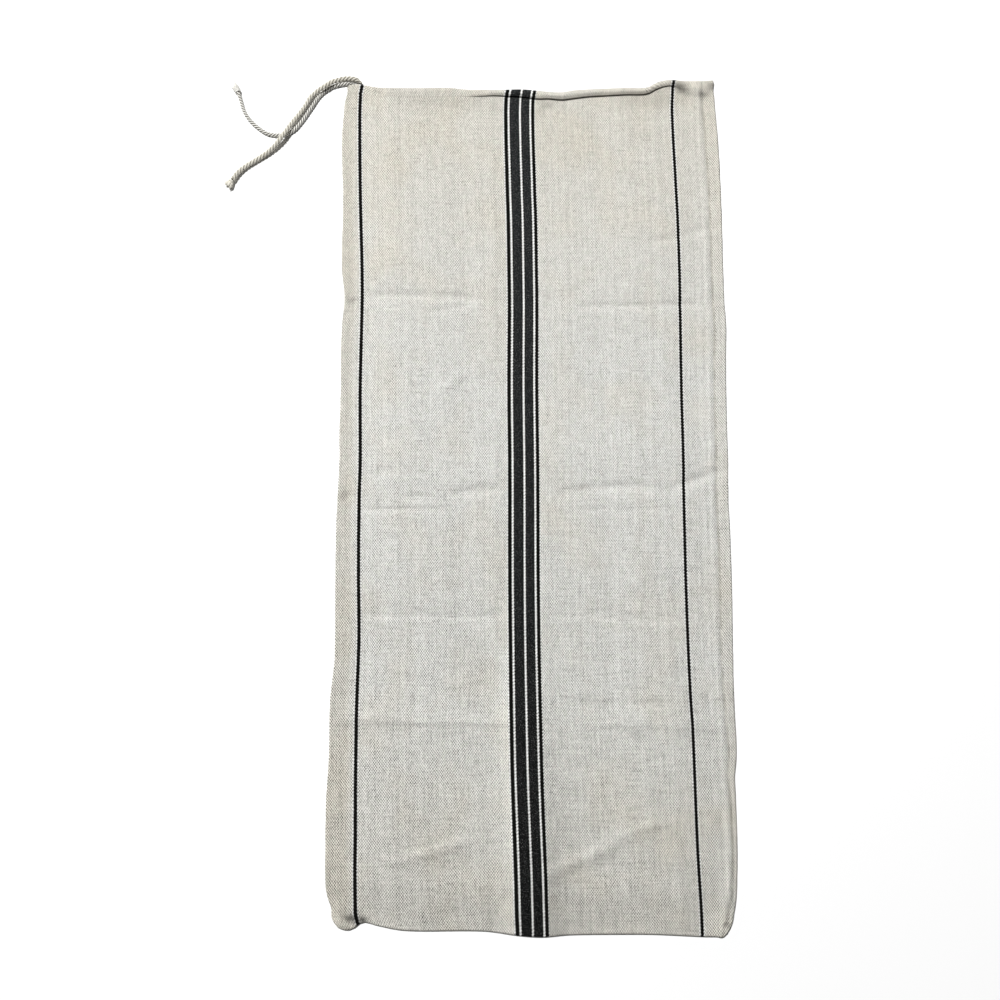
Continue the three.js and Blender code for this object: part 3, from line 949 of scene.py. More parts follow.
    def material(self) -> bpy.types.Material:
        """Builds the material."""
        graph = ShaderGraph(self.name)
        place, s, v = graph.places(self.uv_map)
        up = abs(v)
        bent_s = s + self.stray[0] * (graph.noise(place, (42, 42)) - 0.5)
        bent_v = v + self.stray[1] * (graph.noise(place, (30, 55)) - 0.5)
        over, broken, height, own = self.weave(bent_s, bent_v)
        fibres = self.ragged_fibres * (graph.noise(place, (900, 700)) - 0.5)
        black, core, bright = self.stripes(s, self.ragged_floats * (over - 0.5) + fibres)
        cloth = graph.mix(bright, self.ground(graph, place, s, up), self.bright)
        lint = graph.noise(place, (1500, 900), 1.0).above(0.68, 0.75)
        colour = graph.mix(black, cloth, self.ink)
        faded = graph.mix(up.above(*self.fading), self.fresh, self.charcoal)
        colour = graph.mix(core, colour, graph.mix(self.lint * lint, faded, self.bright))
        threads = self.threads(graph, place, (bent_s, bent_v), up, (over, broken, own))
        # The painted shading attribute darkens the cloth with painted shade, and lightens it with painted
        # light where it is below zero.
        painted_shading = graph.node("ShaderNodeAttribute", {"attribute_name": self.painted_shading_name}).outputs["Fac"]
        tone = (self.tone + threads + self.bleach * bright) * self.shade(s, up) * (1 - Value(graph, painted_shading))
        return graph.surface(graph.mix(1.0, colour, tone.clamp(), "MULTIPLY"), height, self.depth)


@dataclass(frozen=True)
class YarnFinish:
    """Twisted natural yarn, with the fibres of a ply running round it."""

    name: str = "twisted_yarn"
    uv_map: str = "yarn"
    light: Colour = linear(228, 225, 214)
    dark: Colour = linear(176, 170, 150)
    # The colour and the strength of the painted shade in the grooves between the plies.
    groove_shade_colour: Colour = linear(70, 64, 48)
    groove_shade: float = 0.0
    strands: int = 5
    strand_pitch: float = 9 * MM
    depth: float = 0.3 * MM

    def material(self) -> bpy.types.Material:
        """Builds the material."""
        graph = ShaderGraph(self.name)
        place, around, along = graph.places(self.uv_map)
        turn = self.strands * around + along / (self.strand_pitch / self.strands)
        strand = (math.pi * turn.part()).sine()
        fibre = graph.noise(place, (14, 260), 3.0)
        patch = graph.noise(place, (0.6, 60), 2.0)
        height = 0.7 * strand + 0.5 * fibre
        # The strand share is painted shade between the strands; fibre and patch give the yarn's own uneven
        # tone.
        shade = (0.45 * strand + 0.9 * (fibre - 0.5) + 0.6 * (patch - 0.5) + 0.35).clamp()
        colour = graph.mix(shade, self.dark, self.light)
        # Painted shade in the grooves between the plies: the inward side of each ply darkens; loose fibres
        # and wraps get none.
        inward = 0.5 - 0.5 * (2 * math.pi * around + math.pi / 2).sine()
        groove = inward.above(0.07, 0.34) * around.above(LOOSE_TURN / 2, 0.4 * LOOSE_TURN)
        colour = graph.mix(self.groove_shade * groove, colour, self.groove_shade_colour)
        return graph.surface(colour, height, self.depth)


@dataclass(frozen=True)
class FloorFinish:
    """A plain pale floor."""

    name: str = "pale_floor"
    colour: Colour = (0.93, 0.93, 0.93, 1.0)
    roughness: float = 0.9

    def material(self) -> bpy.types.Material:
        """Builds the material."""
        inputs = {"Base Color": self.colour, **MATT, "Roughness": self.roughness}
        return ShaderGraph(self.name).end("ShaderNodeBsdfPrincipled", inputs)


@dataclass(frozen=True)
class WallFinish:
    """A plain wall that gives a little light of its own."""

    name: str = "pale_wall"
    glow: Colour = (1.0, 1.0, 1.0, 1.0)
    strength: float = 0.34

    def material(self) -> bpy.types.Material:
        """Builds the material."""
        inputs = {"Color": self.glow, "Strength": self.strength}
        return ShaderGraph(self.name).end("ShaderNodeEmission", inputs)


def placed(name: str, data: bpy.types.ID) -> bpy.types.Object:
    """Puts an object of some data into the scene, at the origin."""
    made = bpy.data.objects.new(name, data)
    bpy.context.scene.collection.objects.link(made)
    return made


def meshed(name: str, mesh: bmesh.types.BMesh, material: bpy.types.Material) -> bpy.types.Object:
    """Turns a finished mesh into an object of one material."""
    data = bpy.data.meshes.new(name)
    mesh.to_mesh(data)
    mesh.free()
    data.materials.append(material)
    return placed(name, data)


def grid_place(vert: bmesh.types.BMVert, columns: int, rows: int) -> tuple[int, int]:
    """Gives the column and the row of a point in a fresh grid of size 1."""
    return round((vert.co.x + 1) / 2 * columns), round((vert.co.y + 1) / 2 * rows)


def distances(line: Sequence[Vector]) -> list[float]:
    """Lists how far along a line each of its points lies."""
    passed = [0.0]
    for first, second in zip(line, line[1:]):
        passed.append(passed[-1] + (second - first).length)
    return passed


def around(first: Vector, second: Vector, angle: float) -> Vector:
    """Gives the direction at an angle from one cross direction towards another."""
    return math.cos(angle) * first + math.sin(angle) * second


def lifted(point: Vector, least: float) -> Vector:
    """Keeps a point at or above a height."""
    return Vector((point.x, point.y, max(point.z, least)))


@dataclass
class Piece:
    """A mesh in the making, which ends as an object that sits at the origin."""

    name: str
    uv_map: str
    mesh: bmesh.types.BMesh = field(default_factory=bmesh.new)

    def __post_init__(self) -> None:
        """Adds the UV map."""
        self.uv = self.mesh.loops.layers.uv.new(self.uv_map)

    def tube(
        self, line: Sequence[Vector], radii: Sequence[float], sides: int, outs: Sequence[Vector] | None = None
    ) -> None:
        """Adds a tube along a line, rolled from a flat grid, with its ends left open.

        Args:
            line: The points down its middle.
            radii: Its radius at each point.
            sides: How many sides it has.
            outs: For a ply, the directions away from the cord's middle.
        """
        steps = len(line) - 1
        made = bmesh.ops.create_grid(self.mesh, x_segments=sides, y_segments=steps, size=1.0)["verts"]
        normals, binormals = carried_frames(line, outs)
        first_turn = LOOSE_TURN if outs is None else 0.0
        passed = distances(line)
        where = {}
        for vert in made:
            i, j = grid_place(vert, sides, steps)
            where[vert] = (first_turn + i / sides, passed[j])
            vert.co = line[j] + radii[j] * around(normals[j], binormals[j], 2 * math.pi * i / sides)
        for face in {face for vert in made for face in vert.link_faces}:
            face.smooth = True
            for loop in face.loops:
                loop[self.uv].uv = where[loop.vert]
        seam = [vert for vert in made if where[vert][0] in (first_turn, first_turn + 1)]
        bmesh.ops.remove_doubles(self.mesh, verts=seam, dist=1e-7)

    def close(self) -> None:
        """Closes every open end and turns the faces outwards."""
        rims = [edge for edge in self.mesh.edges if edge.is_boundary]
        bmesh.ops.holes_fill(self.mesh, edges=rims, sides=0)
        bmesh.ops.recalc_face_normals(self.mesh, faces=self.mesh.faces[:])

    def finish(self, material: bpy.types.Material, slot: str) -> bpy.types.Object:
        """Makes the object.

        Args:
            material: The piece's material.
            slot: Not used.

        Returns:
            The object, riding on the sack's body.
        """
        made = meshed(self.name, self.mesh, material)
        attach(made, BODY)
        log.info("%s: %d faces", self.name, len(made.data.polygons))
        return made


def carried_frames(
    line: Sequence[Vector], outs: Sequence[Vector] | None = None
) -> tuple[list[Vector], list[Vector]]:
    """Carries a cross direction along a line without twisting it.

    Args:
        line: The points of the line.
        outs: Directions that the first cross direction follows, where they are known.

    Returns:
        The two cross directions at each point.
    """
    last = len(line) - 1
    tangents = [(line[min(j + 1, last)] - line[max(j - 1, 0)]).normalized() for j in range(last + 1)]
    if outs is None:
        side = Vector((0, 0, 1)) if abs(tangents[0].z) < 0.9 else Vector((1, 0, 0))
        normal = (side - tangents[0] * side.dot(tangents[0])).normalized()
        normals = [normal]
        for before, after in zip(tangents, tangents[1:]):
            normal = before.rotation_difference(after) @ normal
            normals.append((normal - after * normal.dot(after)).normalized())
    else:
        normals = [(out - way * out.dot(way)).normalized() for out, way in zip(outs, tangents)]
    return normals, [tangent.cross(normal) for tangent, normal in zip(tangents, normals)]


@dataclass
class Studio:
    """The camera, the light, the floor and the wall round it."""

    target: Vector = field(default_factory=lambda: Vector((-0.0405, -0.019, 0.0)))
    distance: float = 2.0
    elevation: float = 79.0
    lens: float = 55.19
    sensor: float = 36.0
    key_from: Vector = field(default_factory=lambda: Vector((-0.50, 0.66, 1.5)))
    key_distance: float = 9.0
    key_size: float = 1.4
    key_power: float = 1034.0
    sky: float = 0.02
    floor_half: float = 6.0
    wall_height: float = 2.2
    wall_share: float = 0.98
    wall_sides: int = 96
    floor: FloorFinish = FloorFinish()
    wall: WallFinish = WallFinish()

    def place_camera(self) -> None:
        """Puts the camera where the photograph was taken from."""
        camera = placed("camera", bpy.data.cameras.new("camera"))
        angle = math.radians(self.elevation)
        back = Vector((0, -math.cos(angle), math.sin(angle)))
        camera.location = self.target + self.distance * back
        camera.rotation_euler = (math.pi / 2 - angle, 0, 0)
        camera.data.lens = self.lens
        camera.data.sensor_width = self.sensor
        bpy.context.scene.camera = camera

    def light(self) -> None:
        """Adds a soft light from the upper left and an even sky."""
        data = bpy.data.lights.new("key", "AREA")
        data.shape = "DISK"
        data.size = self.key_size
        data.energy = self.key_power
        key = placed("key", data)
        towards = self.key_from.normalized()
        key.location = self.target + self.key_distance * towards
        key.rotation_euler = towards.to_track_quat("Z", "Y").to_euler()
        world = bpy.data.worlds.new("sky")
        world.use_nodes = True
        background = world.node_tree.nodes["Background"]
        background.inputs["Color"].default_value = (1, 1, 1, 1)
        background.inputs["Strength"].default_value = self.sky
        bpy.context.scene.world = world
        bpy.context.scene.view_settings.view_transform = "Standard"

    def lay_floor(self) -> None:
        """Lays the floor under the sack."""
        mesh = bmesh.new()
        bmesh.ops.create_grid(mesh, x_segments=1, y_segments=1, size=self.floor_half)
        meshed("floor", mesh, self.floor.material())

    def stand_wall(self) -> None:
        """Stands a plain wall round the floor, which low views see."""
        mesh = bmesh.new()
        radius = self.wall_share * self.floor_half
        ring = {"segments": self.wall_sides, "radius1": radius, "radius2": radius}
        bmesh.ops.create_cone(mesh, cap_ends=False, depth=self.wall_height, **ring)
        bmesh.ops.translate(mesh, verts=mesh.verts, vec=(0, 0, self.wall_height / 2))
        bmesh.ops.reverse_faces(mesh, faces=mesh.faces)
        meshed("wall", mesh, self.wall.material())


THICK_ROUTE = (
    (-0.2305, 0.5642, 0.0034), (-0.2375, 0.5688, 0.0043), (-0.2465, 0.5702, 0.0048),
    (-0.2555, 0.5695, 0.0056), (-0.2635, 0.5670, 0.0070), (-0.2720, 0.5630, 0.0083),
    (-0.2800, 0.5575, 0.0087), (-0.2880, 0.5525, 0.0076), (-0.2940, 0.5480, 0.0062),
    (-0.3000, 0.5425, 0.0054), (-0.3050, 0.5340, 0.0050), (-0.3100, 0.5255, 0.0050),
    (-0.3160, 0.5165, 0.0056), (-0.3220, 0.5075, 0.0070), (-0.3280, 0.4980, 0.0085),
    (-0.3335, 0.4890, 0.0091), (-0.3395, 0.4805, 0.0085), (-0.3465, 0.4720, 0.0066),
    (-0.3555, 0.4635, 0.0047), (-0.3650, 0.4565, 0.0038), (-0.3750, 0.4500, 0.0036),
    (-0.3840, 0.4440, 0.0037), (-0.3915, 0.4380, 0.0042), (-0.3975, 0.4315, 0.0049),
    (-0.4035, 0.4225, 0.0055),
)
THIN_ROUTE = (
    (-0.2405, 0.5638, 0.0030), (-0.2485, 0.5638, 0.0027), (-0.2565, 0.5630, 0.0027),
    (-0.2650, 0.5612, 0.0027), (-0.2725, 0.5585, 0.0027), (-0.2795, 0.5540, 0.0027),
    (-0.2860, 0.5480, 0.0027), (-0.2915, 0.5410, 0.0027), (-0.2965, 0.5325, 0.0027),
    (-0.3020, 0.5235, 0.0027), (-0.3075, 0.5145, 0.0027), (-0.3140, 0.5050, 0.0027),
    (-0.3210, 0.4965, 0.0027), (-0.3295, 0.4910, 0.0027), (-0.3400, 0.4885, 0.0027),
    (-0.3505, 0.4885, 0.0027), (-0.3595, 0.4910, 0.0027), (-0.3680, 0.4965, 0.0027),
    (-0.3775, 0.5045, 0.0027), (-0.3860, 0.5145, 0.0027), (-0.3920, 0.5255, 0.0027),
    (-0.3960, 0.5380, 0.0034), (-0.3995, 0.5500, 0.0045),
)


def route_line(route: Sequence[Point], step: float) -> list[Vector]:
    """Draws a smooth line of even steps through a route's points.

    Args:
        route: The points.
        step: About how far apart the line's points are.

    Returns:
        The line's points.
    """
    points = [Vector(point) for point in route]
    points = [2 * points[0] - points[1], *points, 2 * points[-1] - points[-2]]
    fine = []
    for p0, p1, p2, p3 in zip(points, points[1:], points[2:], points[3:]):
        t1 = math.sqrt((p1 - p0).length)
        t2 = t1 + math.sqrt((p2 - p1).length)
        t3 = t2 + math.sqrt((p3 - p2).length)
        for k in range(ROUTE_FINENESS):
            t = t1 + (t2 - t1) * k / ROUTE_FINENESS
            a1 = p0 * ((t1 - t) / t1) + p1 * (t / t1)
            a2 = p1 * ((t2 - t) / (t2 - t1)) + p2 * ((t - t1) / (t2 - t1))
            a3 = p2 * ((t3 - t) / (t3 - t2)) + p3 * ((t - t2) / (t3 - t2))
            b1 = a1 * ((t2 - t) / t2) + a2 * (t / t2)
            b2 = a2 * ((t3 - t) / (t3 - t1)) + a3 * ((t - t1) / (t3 - t1))
            fine.append(b1 * ((t2 - t) / (t2 - t1)) + b2 * ((t - t1) / (t2 - t1)))
    fine.append(points[-2])
    return even_steps(fine, step)


def even_steps(fine: Sequence[Vector], step: float) -> list[Vector]:
    """Spaces a line's points evenly.

    Args:
        fine: The line.
        step: About how far apart the new points are.

    Returns:
        The new points, with the line's own ends.
    """
    passed = distances(fine)
    count = max(2, round(passed[-1] / step))
    line = []
    for k in range(count + 1):
        at = passed[-1] * k / count
        i = min(max(bisect_right(passed, at) - 1, 0), len(fine) - 2)
        line.append(fine[i].lerp(fine[i + 1], (at - passed[i]) / (passed[i + 1] - passed[i])))
    return line


class CordEnd(NamedTuple):
    """Where a cord ends, the way it goes there, the level way across it and the way across both."""

    start: Vector
    heading: Vector
    side: Vector
    up: Vector


@dataclass
class TieCord:
    """One of the tie's two cords: three plies twisted round each other, with a knotted, frayed end."""

    node: str
    knot_node: str
    route: Sequence[Point]
    diameter: float
    pitch: float
    length: float
    tufts: int
    tuft_length: float
    tuft_spread: float
    tuft_swell: float
    wrap_turns: float
    wrap_ring: float
    seed: int
    finish: YarnFinish
    knot_lean: float = 0.0
    lay: int = LEFT_LAY
    plies: int = 3
    ply_share: float = 0.464
    ply_sides: int = 12
    ply_uneven: float = 0.05
    ply_waves: Pair = (90, 7.3)
    steps_per_turn: int = 22
    sewn_length: float = 12 * MM
    sewn_scale: float = 0.4
    hairs: int = 90
    hair_length: float = 1.6 * MM
    hair_least: float = 0.2 * MM
    hair_steps: int = 4
    hair_sides: int = 3
    plain_ends: int = 8
    knot_swell: float = 1.08
    wrap_steps: int = 20
    tuft_steps: int = 10
    tuft_hairs: int = 30
    tuft_hair_length: float = 2.6 * MM
    end_sides: int = 10

    def build(self, material: bpy.types.Material) -> None:
        line = route_line(self.route, self.pitch / self.steps_per_turn)
        knot = self.build_knot(line, material)
        cord = self.build_plies(line, material)
        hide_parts(self.node)
        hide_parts(self.knot_node)

    def scale(self, passed: float) -> float:
        """Gives the cord's size, against its full one, at a distance from where it is sewn in."""
        return self.sewn_scale + (1 - self.sewn_scale) * smooth(passed / self.sewn_length)

    def build_plies(self, line: Sequence[Vector], material: bpy.types.Material) -> bpy.types.Object:
        """Twists the plies along the line.

        Args:
            line: The cord's centre line.
            material: The yarn.

        Returns:
            The cord.
        """
        piece = Piece(self.node + "_yarn", self.finish.uv_map)
        normals, binormals = carried_frames(line)
        step = (line[1] - line[0]).length
        radius = self.diameter / 2
        waves, apart = self.ply_waves
        for ply in range(self.plies):
            centres, radii, outs = [], [], []
            for j, point in enumerate(line):
                angle = self.lay * 2 * math.pi * j * step / self.pitch + 2 * math.pi * ply / self.plies
                outs.append(around(normals[j], binormals[j], angle))
                uneven = 1 + self.ply_uneven * ripple(j * step * waves, ply * apart, self.seed)
                centres.append(point + outs[j] * (1 - self.ply_share) * radius * self.scale(j * step))
                radii.append(self.ply_share * radius * self.scale(j * step) * uneven)
            piece.tube(centres, radii, self.ply_sides, outs)
        draw = random.Random(self.seed)
        for _ in range(self.hairs):
            j = draw.randrange(self.plain_ends, len(line) - self.plain_ends)
            out = around(normals[j], binormals[j], draw.uniform(0, 2 * math.pi))
            along = (line[j + 1] - line[j]).normalized()
            way = out + draw.uniform(-1.5, 1.5) * along
            self.hair(piece, line[j] + out * radius * 0.8, way, self.hair_length, draw)
        piece.close()
        return piece.finish(material, "tie_yarn")

    def hair(self, piece: Piece, start: Vector, way: Vector, length: float, draw: random.Random) -> None:
        """Adds one loose fibre.

        Args:
            piece: The piece that it belongs to.
            start: Where it comes out of the yarn.
            way: The direction in which it starts.
            length: Its usual length.
            draw: The source of its chances.
        """
        heading = way.normalized()
        bend = Vector((draw.uniform(-1, 1), draw.uniform(-1, 1), draw.uniform(-0.6, 0.6)))
        reach = length * draw.uniform(0.5, 1.3)
        points, radii = [], []
        for k in range(self.hair_steps + 1):
            t = k / self.hair_steps
            points.append(lifted(start + reach * (t * heading + 0.45 * t * t * bend), self.hair_least))
            radii.append((0.09 - 0.015 * k) * MM)
        piece.tube(points, radii, self.hair_sides)

    def build_knot(self, line: Sequence[Vector], material: bpy.types.Material) -> bpy.types.Object:
        """Wraps the cord's end and splays its plies past the wrap.

        Args:
            line: The cord's centre line.
            material: The yarn.

        Returns:
            The knotted end.
        """
        piece = Piece(self.knot_node + "_yarn", self.finish.uv_map)
        heading = (line[-1] - line[-3]).normalized()
        heading.rotate(Quaternion((0, 0, 1), self.knot_lean))
        side = Vector((-heading.y, heading.x, 0)).normalized()
        end = CordEnd(line[-1], heading, side, heading.cross(side))
        radius = self.diameter / 2
        ply = self.ply_share * radius * self.knot_swell
        self.wrap(piece, end, ply)
        draw = random.Random(self.seed + 1)
        for k in range(self.tufts):
            share = (k - (self.tufts - 1) / 2) / (self.tufts - 1)
            lean = heading + side * share * self.tuft_spread + end.up * (0.12 if k % 2 else -0.1)
            first = end.start + heading * radius * 0.5 + side * share * radius * 0.9
            reach = self.tuft_length * draw.uniform(0.9, 1.1)
            self.tuft(piece, first, lean.normalized() * reach, ply, draw)
        piece.close()
        return piece.finish(material, "tie_yarn")

    def wrap(self, piece: Piece, end: CordEnd, ply: float) -> None:
        """Winds one ply round the cord's end.

        Args:
            piece: The piece that it belongs to.
            end: The cord's end.
            ply: The ply's radius.
        """
        steps = round(self.wrap_turns * self.wrap_steps)
        ring = self.diameter / 2 * self.wrap_ring
        points, radii = [], []
        for k in range(steps + 1):
            t = k / steps
            out = around(end.side, end.up, self.lay * 2 * math.pi * self.wrap_turns * t)
            point = end.start + end.heading * (0.2 + 1.7 * t * self.wrap_turns) * ply + out * ring
            points.append(lifted(point, ply))
            radii.append(ply * (0.55 + 0.45 * smooth(5 * t) * smooth(5 * (1 - t))))
        piece.tube(points, radii, self.end_sides)

    def tuft(self, piece: Piece, first: Vector, way: Vector, ply: float, draw: random.Random) -> None:
        """Adds one frayed end of a ply with its loose fibres.

        Args:
            piece: The piece that it belongs to.
            first: Where it leaves the wrap.
            way: The way it goes, as long as it is.
            ply: The ply's radius.
            draw: The source of its chances.
        """
        curl = Vector((draw.uniform(-1, 1), draw.uniform(-1, 1), 0)) * 0.25 * way.length
        points, radii = [], []
        for k in range(self.tuft_steps + 1):
            t = k / self.tuft_steps
            point = first + t * way + t * t * curl
            radius = ply * (0.9 + (self.tuft_swell - 0.9) * smooth(1.5 * t)) * math.sqrt(max(1 - t**6, 0.03))
            points.append(Vector((point.x, point.y, max(point.z - 0.15 * ply * t, radius * 0.85))))
            radii.append(radius)
        piece.tube(points, radii, self.end_sides)
        heading = (points[-1] - points[-3]).normalized()
        for _ in range(self.tuft_hairs):
            k = draw.randrange(5, self.tuft_steps + 1)
            fan = Vector((draw.uniform(-1, 1), draw.uniform(-1, 1), draw.uniform(-0.5, 1)))
            root = points[k] + fan.normalized() * radii[k] * 0.7
            self.hair(piece, root, heading + 0.9 * fan, self.tuft_hair_length, draw)


LEFT_COLUMNS = tuple(MM * step for step in (0, 0.4, 0.95, 1.65, 2.6, 4.2, 6, 8, 10, 12.5, 16))
SEAM_COLUMNS = tuple(MM * step for step in (-11, -8, -6, -4.5, -3, -1.5, -0.4, 0.6, 1.6, 3))
RIGHT_COLUMNS = tuple(MM * step for step in (2.6, 1.65, 0.95, 0.4, 0))
MIDDLE_COLUMNS = 74
ROUND_ROWS = tuple(MM * step for step in (0, 0.4, 0.95, 1.65, 2.6, 4.2, 7))
FOLD_ROWS = (80, 46, 56, 80)
MOUTH_ROWS = 80
HEM_BODY_ROWS = 7
TURN_STEPS = 6
STRIP_STEPS = 8
TUCK_STEPS = (1.6 * MM, 4.2 * MM)
BACK_THINNING = 4
BACK_EDGE = 3


@dataclass
class SackCloth:
    """The sack's one panel of twill: folded at the bottom, joined at the sides and hemmed at the mouth."""

    node: str = "sack_cloth"
    name: str = "sack_twill_panel"
    cloth: float = 0.8 * MM
    flat: tuple[float, float] = (0.532, 2.295)
    cloth_start: float = 0.569
    hem_ease: float = 12 * MM
    hem_room: float = 2 * MM
    hem_gap: float = 0.05 * MM
    hem_flat: float = 1.2 * MM
    lip_flat: float = 0.1 * MM
    lip_least: float = 0.08 * MM
    hem_gain: float = 1.5
    hem_round: tuple[float, float] = (0.42, 0.75)
    # Painted shade under the hem's roll and lip, weaker where the hem lies flat.
    hem_shade_strength: float = 0.50
    hem_least: float = 0.22
    hem_shade_reach: float = 2.5 * MM
    roll_from: float = 1.5 * MM
    roll_span: float = 1.3 * MM
    lip_from: float = 0.15
    lip_open: float = 0.15
    stripe_lean: float = 2 * MM
    corner_share: float = 12 * MM
    back_drop: float = 0.8 * MM
    back_wave: float = 0.35 * MM
    back_waves: Point = (13, 10, 41.0)
    back_groove: Point = (10 * MM, 0.8 * MM, 1.6 * MM)
    back_edge: Pair = (4 * MM, 6 * MM)
    row_bunching: float = 0.45
    join: float = 0.005 * MM
    form: SackForm = SackForm()
    finish: TwillFinish = TwillFinish()
    stripe_left: SmoothCurve = column(STRIPES, "y", "left")
    stripe_middle: SmoothCurve = column(STRIPES, "y", "middle")
    stripe_right: SmoothCurve = column(STRIPES, "y", "right")

    @property
    def inset(self) -> float:
        """Half the cloth's thickness: the mesh runs in the middle of the cloth."""
        return self.cloth / 2

    @property
    def edge_round(self) -> float:
        """Radius of the mesh's turn at a folded edge."""
        return self.form.edge_radius - self.inset

    def corner(self, x: float) -> float:
        """Eases from 0 at a side of the mouth to 1 away from it."""
        return smooth(min(x - MOUTH[0].x, MOUTH[-1].x - x) / self.corner_share)

    def mouth(self, side: Side, x: float) -> float:
        """Gives the mouth's y; the back's lies a little lower, so that the front hides it."""
        drop = self.back_drop * self.corner(x) if side is Side.BACK else 0.0
        return self.form.mouth.at(x) - drop

    def hem_top(self, side: Side, x: float, part: float) -> float:
        """Gives how far the hem stands off the sack's face.

        Args:
            side: The layer.
            x: Place along the mouth.
            part: Place across the hem, from 0 at the mouth to 1 at its lower lip.

        Returns:
            The height of the hem's outer face over the layer's.
        """
        lying = 1 - smooth((part - self.lip_from) / (1 - self.lip_from))
        flat = self.lip_flat + (self.hem_flat - self.lip_flat) * lying
        if side is Side.BACK:
            return flat
        middle, half = self.hem_round
        arch = math.sqrt(max(0.0, 1 - ((part - middle) / half) ** 2))
        return flat + (self.hem_gain * self.form.lift.at(x) * arch - flat) * self.rolled(x)

    def rolled(self, x: float) -> float:
        """Gives how far the front's hem is a round roll, from 0 where it lies flat to 1."""
        return smooth((self.form.lift.at(x) - self.roll_from) / self.roll_span) * self.corner(x)

    def below_hem(self, side: Side, x: float, y: float) -> float:
        """Gives how far a place lies below the hem's lower edge."""
        return self.mouth(side, x) - self.form.roll.at(x) - y

    def painted_shading(self, side: Side, x: float, y: float, seam: float) -> float:
        """Gives the painted shade and light on a place of a layer, with painted shade just under the hem's
        roll.
        """
        if side is Side.BACK:
            return 0.0
        under_roll = self.hem_shade_strength * max(self.rolled(x), self.hem_least)
        return self.form.painted_shading(x, y, seam) + under_roll * smooth(1 - self.below_hem(side, x, y) / self.hem_shade_reach)

    def hem_painted_shade(self, side: Side, x: float, step: int) -> float:
        """Gives the painted shade at a point of the hem's cut: none on its crest and dark under its lip."""
        if side is Side.BACK:
            return 0.0
        past = (step - TURN_STEPS - STRIP_STEPS / 2) / (STRIP_STEPS / 2 + TURN_STEPS)
        return self.hem_shade_strength * self.rolled(x) * smooth(past)

    def hem_near(self, side: Side, x: float, y: float) -> float:
        """Eases from 1 under the hem to 0 a little below it."""
        return smooth(1 - self.below_hem(side, x, y) / self.hem_ease)

    def rounding(self, inward: float) -> Pair:
        """Gives the outward and the upward share of a round edge at a distance in from it."""
        outward = 1 - min(inward / self.edge_round, 1.0)
        return outward, math.sqrt(1 - outward**2)

    def hem_points(self, side: Side, x: float) -> list[HemPoint]:
        """Draws a cut through the hem: the turn of the mouth, the strip, its lower lip and the tuck.

        Args:
            side: The layer.
            x: Place along the mouth.

        Returns:
            The points of the cut after the last row of the layer itself.
        """
        first = self.hem_top(side, x, 0.0) / 2
        last_out = self.hem_top(side, x, 1.0)
        gap = self.hem_gap + self.lip_open * last_out
        lip = max((last_out - self.cloth - gap) / 2, self.lip_least)
        under = last_out - 2 * lip
        start = first + self.inset
        end = self.form.roll.at(x) - lip - self.inset
        path = [(start, 0.0)]
        for k in range(1, TURN_STEPS + 1):
            angle = math.pi * (k / TURN_STEPS - 0.5)
            path.append((start - first * math.cos(angle), first + first * math.sin(angle)))
        for k in range(1, STRIP_STEPS + 1):
            part = k / STRIP_STEPS
            path.append((start + (end - start) * part, self.hem_top(side, x, part)))
        for k in range(1, TURN_STEPS + 1):
            angle = math.pi * (0.5 + k / TURN_STEPS)
            path.append((end - lip * math.cos(angle), last_out - lip + lip * math.sin(angle)))
        for step in TUCK_STEPS:
            settled = smooth(step / TUCK_STEPS[-1])
            path.append((end - step, under + (min(self.cloth + self.hem_gap, under) - under) * settled))
        points, along = [], 0.0
        for (down, out), (next_down, next_out) in zip(path, path[1:]):
            along += math.hypot(next_down - down, next_out - out)
            points.append(HemPoint(next_down, next_out, along))
        return points

    def turn_start(self, side: Side, x: float) -> float:
        """Gives the y at which a layer starts to turn over into its hem."""
        return self.mouth(side, x) - self.hem_top(side, x, 0.0) / 2 - self.inset

    def row_lines(self, side: Side) -> list[Callable[[float], float]]:
        """Lists the lines across a layer, closer together beside the folds and the hem.

        Args:
            side: The layer.

        Returns:
            A function for each line that gives its y at an x.
        """
        form = self.form
        lines = [lambda x, up=up: form.bottom.at(x) + self.inset + up for up in ROUND_ROWS]
        ends = [(lambda x, fold=fold: form.fold_line(fold, x), rows) for fold, rows in zip(FOLDS, FOLD_ROWS)]
        ends.append((lambda x: self.mouth(side, x) - form.roll.at(x) - self.hem_room, MOUTH_ROWS))
        ends.append((lambda x: self.turn_start(side, x), HEM_BODY_ROWS))
        for upper, count in ends:
            lower = lines[-1]
            for k in range(1, count + 1):
                even = k / count
                part = even + self.row_bunching * (0.5 - 0.5 * math.cos(math.pi * even) - even)
                lines.append(lambda x, a=lower, b=upper, part=part: a(x) + (b(x) - a(x)) * part)
        return lines

    def columns(self, edges: Edges, room: float) -> list[float]:
        """Lists the x places of a row's points; those on the right follow the seam.

        Args:
            edges: The row's edges.
            room: How far the row stays in from its edges.

        Returns:
            The places, from left to right.
        """
        left, right = edges.left + room, edges.right - room
        first, last = left + LEFT_COLUMNS[-1], edges.seam + SEAM_COLUMNS[0]
        places = [left + step for step in LEFT_COLUMNS]
        places += [first + (last - first) * k / MIDDLE_COLUMNS for k in range(1, MIDDLE_COLUMNS)]
        places += [edges.seam + step for step in SEAM_COLUMNS]
        return places + [right - step for step in RIGHT_COLUMNS]

